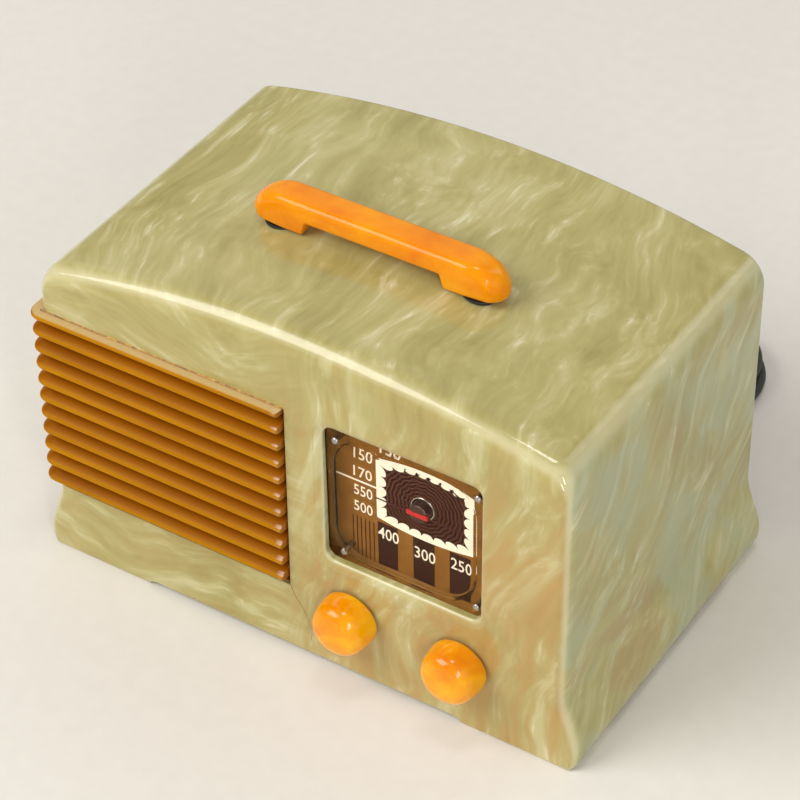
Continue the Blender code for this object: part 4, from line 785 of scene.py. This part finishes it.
def makeGrille():
    profile = finProfile()
    lines = np.stack([np.insert(grillePath(out, z), 2, z, axis=1) for out, z in profile], 1)
    # the fins' right ends are rounded off over 1.6 mm
    ends = []
    for t in np.linspace(0, 1, 7)[:-1]:
        out = np.where(profile[:, 0] > grille["webFront"], np.minimum(profile[:, 0], grille["webFront"] + (
            grille["reach"] - grille["webFront"]) * np.sqrt(1 - (1 - t) ** 2) + 1.2), profile[:, 0])
        across = np.full(len(out), grille["right"] - 0.5 - 1.6 * t)
        ends.append(np.stack([across, frontY(profile[:, 1]) - out, profile[:, 1]], -1))
    louvres = ringSolid("grilleLouvres", np.concatenate([np.array(ends), lines]), finishes["amberCast"], sharp=40.0)
    slots = []
    for k in range(grille["finCount"]):
        tip = grille["finFirst"] - grille["finPitch"] * k
        z = (tip + 4.4, tip + 6.0 if k else grille["high"] - 3.2)
        slots += [(x, (-62.0, -48.0), z) for x in ((-97.0, -68.0), (-64.0, -38.0), (-34.0, -8.0))]
        slots.append(((-112.0, -95.0), (-49.0, grille["leftEnd"] - 4.0), z))
    carve(louvres, blocks("slots", slots))
    smoothFaces(louvres, 40.0)
    stand(louvres, "radio", "amber_phenolic", "grille")
    # a thin bead of uneven thickness lies along the top of the rail, dark amber with bright amber spots: a dark joint
    # with painted glints
    x = np.linspace(*bead["x"], bead["steps"])
    level = grille["high"] - bead["sink"] + bead["wander"] * np.sin(x * 0.9) * np.sin(x * 0.37)
    route = np.stack([x, frontY(level) - bead["sink"], level], -1)
    stand(tubeAlong("railBead", route, bead["radius"], bead["sides"], finishes["glueAndGlintAmber"]), "radio", "amber_phenolic")
    # the cloth is one stretched sheet, folded once round the corner behind the slots
    out, low, high = -8.4, grille["low"] - 4.5, grille["high"] + 3.7
    corner = -cabinet["wallHalf"] - out
    across = np.concatenate([np.linspace(-6.0, corner, 48), np.full(18, corner)])
    rows = []
    for z in np.linspace(low, high, 40):
        y = frontY(z) - out
        depth = np.concatenate([np.full(48, y), np.linspace(y, grille["leftEnd"] - 2.0, 19)[1:]])
        rows.append(np.stack([across, depth, np.full(len(across), z)], -1))
    points = np.array(rows)
    cloth = newPiece("grilleCloth", points, gridFaces(*points.shape[:2]), finishes["speakerWeave"], 180.0)
    far = np.concatenate([[0], np.cumsum(np.linalg.norm(np.diff(points[20], axis=0), axis=1))]) * mm
    mapOnto(cloth, "weave", far, np.linspace(low, high, 40) * mm)
    stand(cloth, "radio", "speaker_cloth", "grille_cloth")
    print("grille:", len(louvres.data.polygons), "faces")


def mapOnto(piece, name, across, along):
    # a map in metres: how far along its row and its column each grid point lies
    spots = np.stack(np.broadcast_arrays(across[None, :], along[:, None]), -1).reshape(-1, 2)
    corner = np.zeros(len(piece.data.loops), np.int32)
    piece.data.loops.foreach_get("vertex_index", corner)
    layer = piece.data.uv_layers.new(name=name)
    layer.data.foreach_set("uv", spots[corner].astype(np.float32).ravel())


# Handle

handle = {"y": -4.7, "footX": 40.5, "halfLength": 51.4, "halfWidth": 6.6, "footZ": 144.4, "underZ": 149.2,
          "topZ": 157.8, "end": 14.0, "endDrop": 10.2, "toe": 3.7, "toeRise": 2.6, "step": (27.2, 29.4),
          "washerTop": 144.2}


def makeHandle():
    # a bar of rounded section whose width, top and underside are functions of the distance from the middle
    reach, wide = handle["halfLength"], handle["halfWidth"]
    tip = reach - wide * (1 - np.cos(np.linspace(0, np.pi / 2, 30)))
    inner, outer = handle["step"]
    x = np.unique(np.concatenate([tip, np.linspace(reach - handle["end"], reach - wide, 16),
                                  np.linspace(inner, outer, 12), np.linspace(outer, reach - handle["end"], 5),
                                  np.linspace(0, inner, 8)]).round(4))
    x = np.concatenate([-x[:0:-1], x])
    far = np.abs(x)
    past = np.maximum(far - (reach - wide), 0)
    half = np.maximum(np.sqrt(np.maximum(wide ** 2 - past ** 2, 0)), 0.7)
    drop = np.maximum(far - (reach - handle["end"]), 0) / handle["end"]
    top = handle["topZ"] - handle["endDrop"] * (1 - np.sqrt(np.maximum(1 - drop ** 2, 0)))
    lift = np.clip((outer - far) / (outer - inner), 0, 1)
    low = handle["footZ"] + (handle["underZ"] - handle["footZ"]) * lift * lift * (3 - 2 * lift)
    tuck = np.maximum(far - (reach - handle["toe"]), 0) / handle["toe"]
    low = low + handle["toeRise"] * (1 - np.sqrt(np.maximum(1 - tuck ** 2, 0)))
    upper = np.minimum(np.minimum(2.8 + 3.4 * drop, half * 0.9), (top - low) * 0.52)
    lower = np.minimum(np.minimum(1.5 + 0.9 * lift + 2.0 * drop, half * 0.6), (top - low) * 0.36)
    columns = []
    for y, z, radius, start in ((half - upper, top - upper, upper, 0), (upper - half, top - upper, upper, 90),
                                (lower - half, low + lower, lower, 180), (half - lower, low + lower, lower, 270)):
        for turn in np.radians(np.linspace(start, start + 90, 9)):
            columns.append(np.stack([x, handle["y"] + y + radius * np.cos(turn), z + radius * np.sin(turn)], -1))
    bar = ringSolid("carryHandle", np.array(columns).transpose(1, 0, 2), finishes["handleCast"], sharp=60.0)
    for side in (-1, 1):
        carve(bar, turnedPiece("bore", [(0, 138.0), (2.3, 138.0), (2.3, 153.0), (0, 153.0)],
                               (side * handle["footX"], handle["y"], 0), "z", steps=24))
    smoothFaces(bar, 60.0)
    stand(bar, "radio", "orange_phenolic", "handle")
    # washers: flat above, and lying on the crown below
    turn = np.arange(64) / 64 * fullTurn
    for name, side in (("Left", -1), ("Right", 1)):
        rings = []
        for radius, z in ((2.5, None), (6.4, None), (6.7, 0.4), (6.8, 0.7), (6.6, 1.0), (2.5, 1.0)):
            px, py = side * handle["footX"] + radius * np.cos(turn), handle["y"] + radius * np.sin(turn)
            bottom = crownZ(px) + 0.15
            rings.append(np.stack([px, py, bottom if z is None else bottom + (handle["washerTop"] - bottom) * z], -1))
        washer = ringSolid("handleWasher" + name, rings, finishes["blackFibre"], True)
        stand(washer, "radio", "black_fibre", "handle_washer_" + name.lower())
    print("handle:", len(bar.data.polygons), "faces")


def makeKnobs():
    # a short straight side, a soft shoulder and a low dome, turned about the shaft
    depth = knobs["base"] - knobs["front"]
    shape = smoothCurve(((1.0, 0.056), (1.0, 0.2), (0.974, 0.405), (0.939, 0.61), (0.868, 0.77), (0.728, 0.889),
                         (0.526, 0.96), (0.263, 0.992), (0.0, 1.0)), 5)
    outside = [(knobs["rim"] * across, knobs["base"] - depth * out)
               for across, out in ((0.94, 0.0), (0.985, 0.014), *shape)]
    profile = [(0.0, knobs["boreFront"]), (knobs["bore"], knobs["boreFront"]), (knobs["bore"], knobs["base"]), *outside]
    profile[-1] = (0.0, knobs["front"])
    for name, x in (("volume", knobs["volumeX"]), ("tuning", knobs["tuningX"])):
        knob = turnedPiece(name + "KnobTurned", profile, (x, 0, knobs["z"]), "y", finishes["knobCast"], 96, sharp=50.0)
        stand(knob, name, "orange_phenolic", name + "_knob")
    print("knobs done")


# Dial

dial = {"x": 47.2, "z": 85.4, "cardY": -53.2, "ink": 0.04, "plateX": (8.0, 78.4), "plateZ": (48.2, 115.0),
        "panX": (13.4, 71.8), "panZ": (54.2, 109.0), "panCorner": 14.0, "lensY": -58.8, "lensThick": 1.3, "panY": -61.0,
        "skin": 1.2, "pointerY": (-57.4, -56.8), "pointerHalf": 17.0,
        "rivets": ((15.6, 105.6), (17.8, 55.4), (71.8, 55.6), (72.4, 105.8)),
        "numbers": (("150", 23.0, 98.2, 4.7), ("170", 22.7, 90.0, 4.7), ("550", 22.7, 81.5, 4.7),
                    ("500", 22.6, 74.0, 4.7), ("400", 32.8, 66.0, 5.2), ("300", 47.7, 63.8, 5.2),
                    ("250", 62.5, 65.7, 5.2), ("130", 34.2, 105.2, 5.2), ("100", 47.6, 109.4, 4.7),
                    ("80", 60.4, 108.4, 4.7), ("70", 73.4, 95.5, 4.7), ("60", 73.4, 88.6, 4.7),
                    ("55", 73.4, 81.6, 4.7), ("200", 74.6, 73.6, 4.7)),
        "bars": ((28.4, 36.5), (42.9, 51.6), (57.7, 66.3)), "stripes": (17.9, 19.6, 21.3, 23.0, 24.7, 26.5),
        "foot": 50.4, "barHead": 70.6, "stripeHead": 69.0, "stripeWide": 0.45}
dialFrame = {"x": (28.2, 67.6), "corners": (98.8, 72.6), "bulge": (3.2, 2.1), "band": (4.0, 3.0, 3.5), "line": 0.2,
             "pitch": 5.4, "round": 2.6}


def framePoints(side, top, bottom):
    # one closed line: bowed top and bottom and straight sides, drawn in by the three widths
    (left, right), (high, low) = dialFrame["x"], dialFrame["corners"]
    left, right, high, low = left + side, right - side, high - top, low + bottom
    u = np.linspace(0, 1, 150, endpoint=False)
    bow = 1 - (2 * u - 1) ** 2
    x = left + (right - left) * u
    upper = np.stack([x, high + dialFrame["bulge"][0] * bow], -1)
    lower = np.stack([right + left - x, low - dialFrame["bulge"][1] * bow], -1)
    down = np.stack([np.full(150, right), high + (low - high) * u], -1)
    rise = np.stack([np.full(150, left), low + (high - low) * u], -1)
    return np.concatenate([upper, down, lower, rise])


def bandEdges():
    # the inner edge falls back to a thin line at each notch between the printed blocks
    outer, inner = framePoints(0, 0, 0), framePoints(*dialFrame["band"])
    step = np.linalg.norm(np.roll(outer, -1, 0) - outer, axis=1)
    along = np.cumsum(step)
    count = round(along[-1] / dialFrame["pitch"])
    apart = (along / along[-1] * count + 0.5) % 1 - 0.5
    apart = np.abs(apart) * along[-1] / count
    bulge = 1 - np.abs(1 - 2 * apart * count / along[-1]) ** dialFrame["round"]
    share = dialFrame["line"] + (1 - dialFrame["line"]) * bulge ** (1 / dialFrame["round"])
    return outer, outer + (inner - outer) * share[:, None]


def inked(name, outlines, material, level=0):
    # flat printed patches: each outline is a thin slab standing on the card
    near = dial["cardY"] - dial["ink"] * (level + 1)
    far = dial["cardY"] - dial["ink"] * level
    points, faces = [], []
    for outline in outlines:
        start, count = sum(len(p) for p in points), len(outline)
        points.append(np.concatenate([atDepth(outline, near), atDepth(outline, far)]))
        faces += [(np.array(f) + start).tolist() for f in gridFaces(2, count, False, True)]
        faces += [list(range(start, start + count)), list(range(start + count, start + 2 * count))]
    return stand(newPiece(name, np.concatenate(points), faces, material), "radio", "printed_card")


def makeDial():
    foot, head, wide = dial["foot"], dial["barHead"], dial["stripeWide"]
    bars = [np.array([(a, foot), (b, foot), (b, head), (a, head)]) for a, b in dial["bars"]]
    head = dial["stripeHead"]
    stripes = [np.array([(x, foot), (x + wide, foot), (x + wide, head), (x, head)]) for x in dial["stripes"]]
    inked("dialBars", bars + stripes, finishes["darkInk"])
    inked("dialWell", [framePoints(1.0, 0.8, 0.8)], finishes["ripplePrint"])
    outer, inner = bandEdges()
    near, far = dial["cardY"] - 2 * dial["ink"], dial["cardY"] - 0.02
    rings = [atDepth(outer, near), atDepth(inner, near), atDepth(inner, far), atDepth(outer, far)]
    stand(ringSolid("dialBand", rings, finishes["creamInk"], True), "radio", "printed_card")
    inked("dialLine", [np.array([(11.2, 85.4), (28.4, 85.4), (28.4, 86.2), (11.2, 86.2)])], finishes["creamInk"])
    # the card's lower edge is folded forwards, up to the lens
    fold = np.array([(-53.3, 50.0), (-57.3, 48.7), (-57.3, 48.4), (-53.3, 49.7)])
    rings = [np.stack([np.full(4, x), fold[:, 0], fold[:, 1]], -1) for x in (9.0, 77.4)]
    stand(ringSolid("dialFold", rings, finishes["cardPrint"]), "radio", "printed_card")
    makeNumbers()
    makePointer()
    makeLens()


def makeNumbers():
    # each number is text filled out to the card's digit height and width, then laid on the card
    points, faces, start = [], [], 0
    for words, x, z, tall in dial["numbers"]:
        letters = bpy.data.curves.new("digits", "FONT")
        letters.body, letters.align_x, letters.align_y = words, "CENTER", "CENTER"
        letters.extrude, letters.resolution_u, letters.offset = 0.02, 3, 0.004
        holder = bpy.data.objects.new("digits", letters)
        mesh = bpy.data.meshes.new_from_object(holder)
        flat = np.zeros(len(mesh.vertices) * 3)
        mesh.vertices.foreach_get("co", flat)
        flat = flat.reshape(-1, 3)
        low, high = flat.min(0), flat.max(0)
        wide = tall * 0.54 * len(words)
        scale = np.array([wide / (high[0] - low[0]), tall / (high[1] - low[1]), dial["ink"] / 0.04])
        laid = (flat - (low + high) / 2) * scale
        points.append(np.stack([x + laid[:, 0], dial["cardY"] - 1.6 * dial["ink"] - laid[:, 2], z + laid[:, 1]], -1))
        faces += [[v + start for v in face.vertices] for face in mesh.polygons]
        start += len(flat)
        bpy.data.meshes.remove(mesh)
        bpy.data.objects.remove(holder)
        bpy.data.curves.remove(letters)
    digits = newPiece("dialNumbers", np.concatenate(points), faces, finishes["creamInk"])
    stand(digits, "radio", "printed_card")


def makePointer():
    x, z = dial["x"], dial["z"]
    near, far = dial["pointerY"]
    reach = dial["pointerHalf"]
    # painted shade: the needle is a darker red than the bar, standing in for the shade it lies in
    for name, half, front, finish in (
            ("pointerNeedle", ((-reach, 0.06), (-9.0, 0.14), (0.0, 0.2), (9.0, 0.14), (reach, 0.06)), near + 0.1,
             "shadedNeedleLacquer"),
            ("pointerBar", ((-4.3, 0.7), (-4.0, 0.95), (4.0, 0.95), (4.3, 0.7)), near, "redLacquer")):
        half = np.array(half)
        line = np.concatenate([half, half[::-1] * (1, -1)]) + (x, z)
        bar = ringSolid(name, [atDepth(line, front), atDepth(line, far)], finishes[finish])
        stand(bar, "dial_drive", "red_lacquer", "pointer")
    profile = [(0, near + 0.15), (2.4, near + 0.15), (3.2, near + 0.35), (3.65, near + 0.8), (3.7, near + 1.2),
               (3.7, near + 4.4), (3.2, near + 4.4), (3.2, near + 2.2), (0, near + 2.2)]
    boss = turnedPiece("pointerBoss", profile, (x, 0, z), "y", finishes["mouldedPhenolic"])
    stand(boss, "dial_drive", "plated_steel")
    # a bright ferrule lines the hole in the card
    turn = np.arange(16) / 16 * fullTurn
    ring = [(4.5 + 0.4 * np.cos(t), dial["cardY"] - 0.25 + 0.4 * np.sin(t)) for t in turn]
    ferrule = turnedPiece("dialFerrule", ring, (x, 0, z), "y", finishes["nickelSteel"], 64, True, 180.0)
    stand(ferrule, "radio", "plated_steel")


def makeLens():
    # a pressed pan: each ring is a rounded rectangle, further in and further forward, with a skin of even thickness
    def pan(inset, y):
        across = (dial["panX"][0] + inset, dial["panX"][1] - inset)
        upright = (dial["panZ"][0] + inset, dial["panZ"][1] - inset)
        return atDepth(roundedBox(across, upright, dial["panCorner"] - inset), y)
    flange = roundedBox(dial["plateX"], dial["plateZ"], 3.0)
    y, face, skin = dial["lensY"], dial["panY"], dial["skin"]
    turn = np.linspace(0, np.pi / 2, 8)
    edge = [pan(1.6 * (1 - np.cos(t)), face + 1.6 * (1 - np.sin(t))) for t in turn]
    inside = [pan(skin + 1.0 * (1 - np.cos(t)), face + skin + 1.0 * (1 - np.sin(t))) for t in turn]
    back = y + dial["lensThick"]
    outside = [atDepth(flange, back), atDepth(flange, y), pan(-0.5, y), pan(-0.15, y - 0.15), pan(0, y - 0.5), *edge,
               pan(4.0, face), pan(6.4, face)]
    front = ringSolid("dialLensPressed", outside, finishes["pressedAcetate"], sharp=30.0)
    carve(front, ringSolid("lensHollow", [pan(skin, back + 2.0), *inside]))
    for x, z in dial["rivets"]:
        carve(front, turnedPiece("rivetHole", [(0, -70.0), (1.25, -70.0), (1.25, -50.0), (0, -50.0)],
                                 (x, 0, z), "y", steps=24))
    smoothFaces(front, 30.0)
    even = front.modifiers.new("even", "WEIGHTED_NORMAL")
    even.keep_sharp, even.weight = True, 80
    front.visible_shadow = False  # the lamps light the card through it
    stand(front, "radio", "clear_plastic", "dial_lens")
    head, tail = dial["lensY"] - 0.3, -52.1
    for n, (x, z) in enumerate(dial["rivets"], 1):
        profile = [(0, head - 0.8), (0.5, head - 0.78), (1.0, head - 0.62), (1.4, head - 0.25), (1.5, head),
                   (1.0, head), (1.0, tail), (1.6, tail), (1.6, tail + 0.4), (0, tail + 0.4)]
        rivet = turnedPiece("lensRivet%d" % n, profile, (x, 0, z), "y", finishes["nickelPlate"], 32)
        stand(rivet, "radio", "bright_brass", "lens_rivet_%d" % n)
    print("dial done")


# Back and works

backScrew = {"head": 3.6, "rise": 1.0, "slot": 0.45, "slotDeep": 0.55, "shank": 1.35, "y": 75.5, "tip": 62.0}


def makeBackScrews():
    # a low dome over polar rings, sunk along a straight slot across its middle
    turn = np.arange(72) / 72 * fullTurn
    radius = np.concatenate([[0.0], np.linspace(0.25, backScrew["head"], 22)])
    spots = [(x, z) for z in cabinet["bossZ"] for x in (-cabinet["bossX"], cabinet["bossX"])]
    for n, (x, z) in enumerate(spots, 1):
        r, t = np.meshgrid(radius[::-1], turn, indexing="ij")
        u, v = r * np.cos(t + n), r * np.sin(t + n)
        across = r * np.sin(t)
        dome = backScrew["rise"] * np.sqrt(np.maximum(1 - (r / (backScrew["head"] * 1.12)) ** 2, 0))
        slotFloor = np.minimum(dome, backScrew["rise"] - backScrew["slotDeep"])
        sunk = np.where(np.abs(across) < backScrew["slot"], slotFloor, dome)
        head = np.stack([x + u, backScrew["y"] + sunk, z + v], -1)
        lower = [np.stack([x + q * np.cos(turn + n), np.full(72, y), z + q * np.sin(turn + n)], -1)
                 for q, y in ((0.0, backScrew["tip"]), (backScrew["shank"], backScrew["tip"] + 1.6),
                              (backScrew["shank"], backScrew["y"]), (backScrew["head"], backScrew["y"]))]
        points = np.concatenate([np.array(lower), head])
        faces = gridFaces(len(points), 72, False, True)
        screw = newPiece("backScrew%d" % n, points, faces, finishes["nickelSteel"], 30.0)
        stand(screw, "radio", "plated_steel", "back_screw_%d" % n)
    print("back screws done")


works = {"antenna_loop": "enamelledCopper", "back_cover": "cabinetBoard", "chassis": "zincSteel",
         "chassis_screw_left": "zincSteel", "chassis_screw_right": "zincSteel", "dial_bracket": "zincSteel",
         "dial_cord": "waxedLinen", "dial_plate": "cardPrint", "filter_capacitor": "waxedPaper",
         "gang_frame": "zincSteel", "gang_rotor": "spunAluminium", "gang_stator": "spunAluminium",
         "handle_screw_left": "zincSteel", "handle_screw_right": "zincSteel", "if_can_1": "spunAluminium",
         "if_can_2": "spunAluminium", "lamp_bulb": "blownGlass", "output_transformer": "ironLaminate",
         "speaker_cone": "pulpPaper", "speaker_frame": "zincSteel", "speaker_magnet": "ironLaminate",
         "tuning_drum": "nickelBrass", "tuning_shaft": "spunAluminium", "volume_control": "zincSteel",
         "volume_shaft": "spunAluminium", **{"tube_base_%d" % n: "mouldedPhenolic" for n in range(1, 6)},
         **{"tube_glass_%d" % n: "blownGlass" for n in range(1, 6)}}


def dressWorks():
    for name, finish in works.items():
        mesh = nodes[name].data
        mesh.materials.clear()
        mesh.materials.append(finishes[finish])
    print("works dressed:", len(works))


setCamera()
setStage()
mixFinishes()
makeLead()
makeCabinet()
makeGrille()
makeHandle()
makeKnobs()
makeDial()
makeBackScrews()
dressWorks()
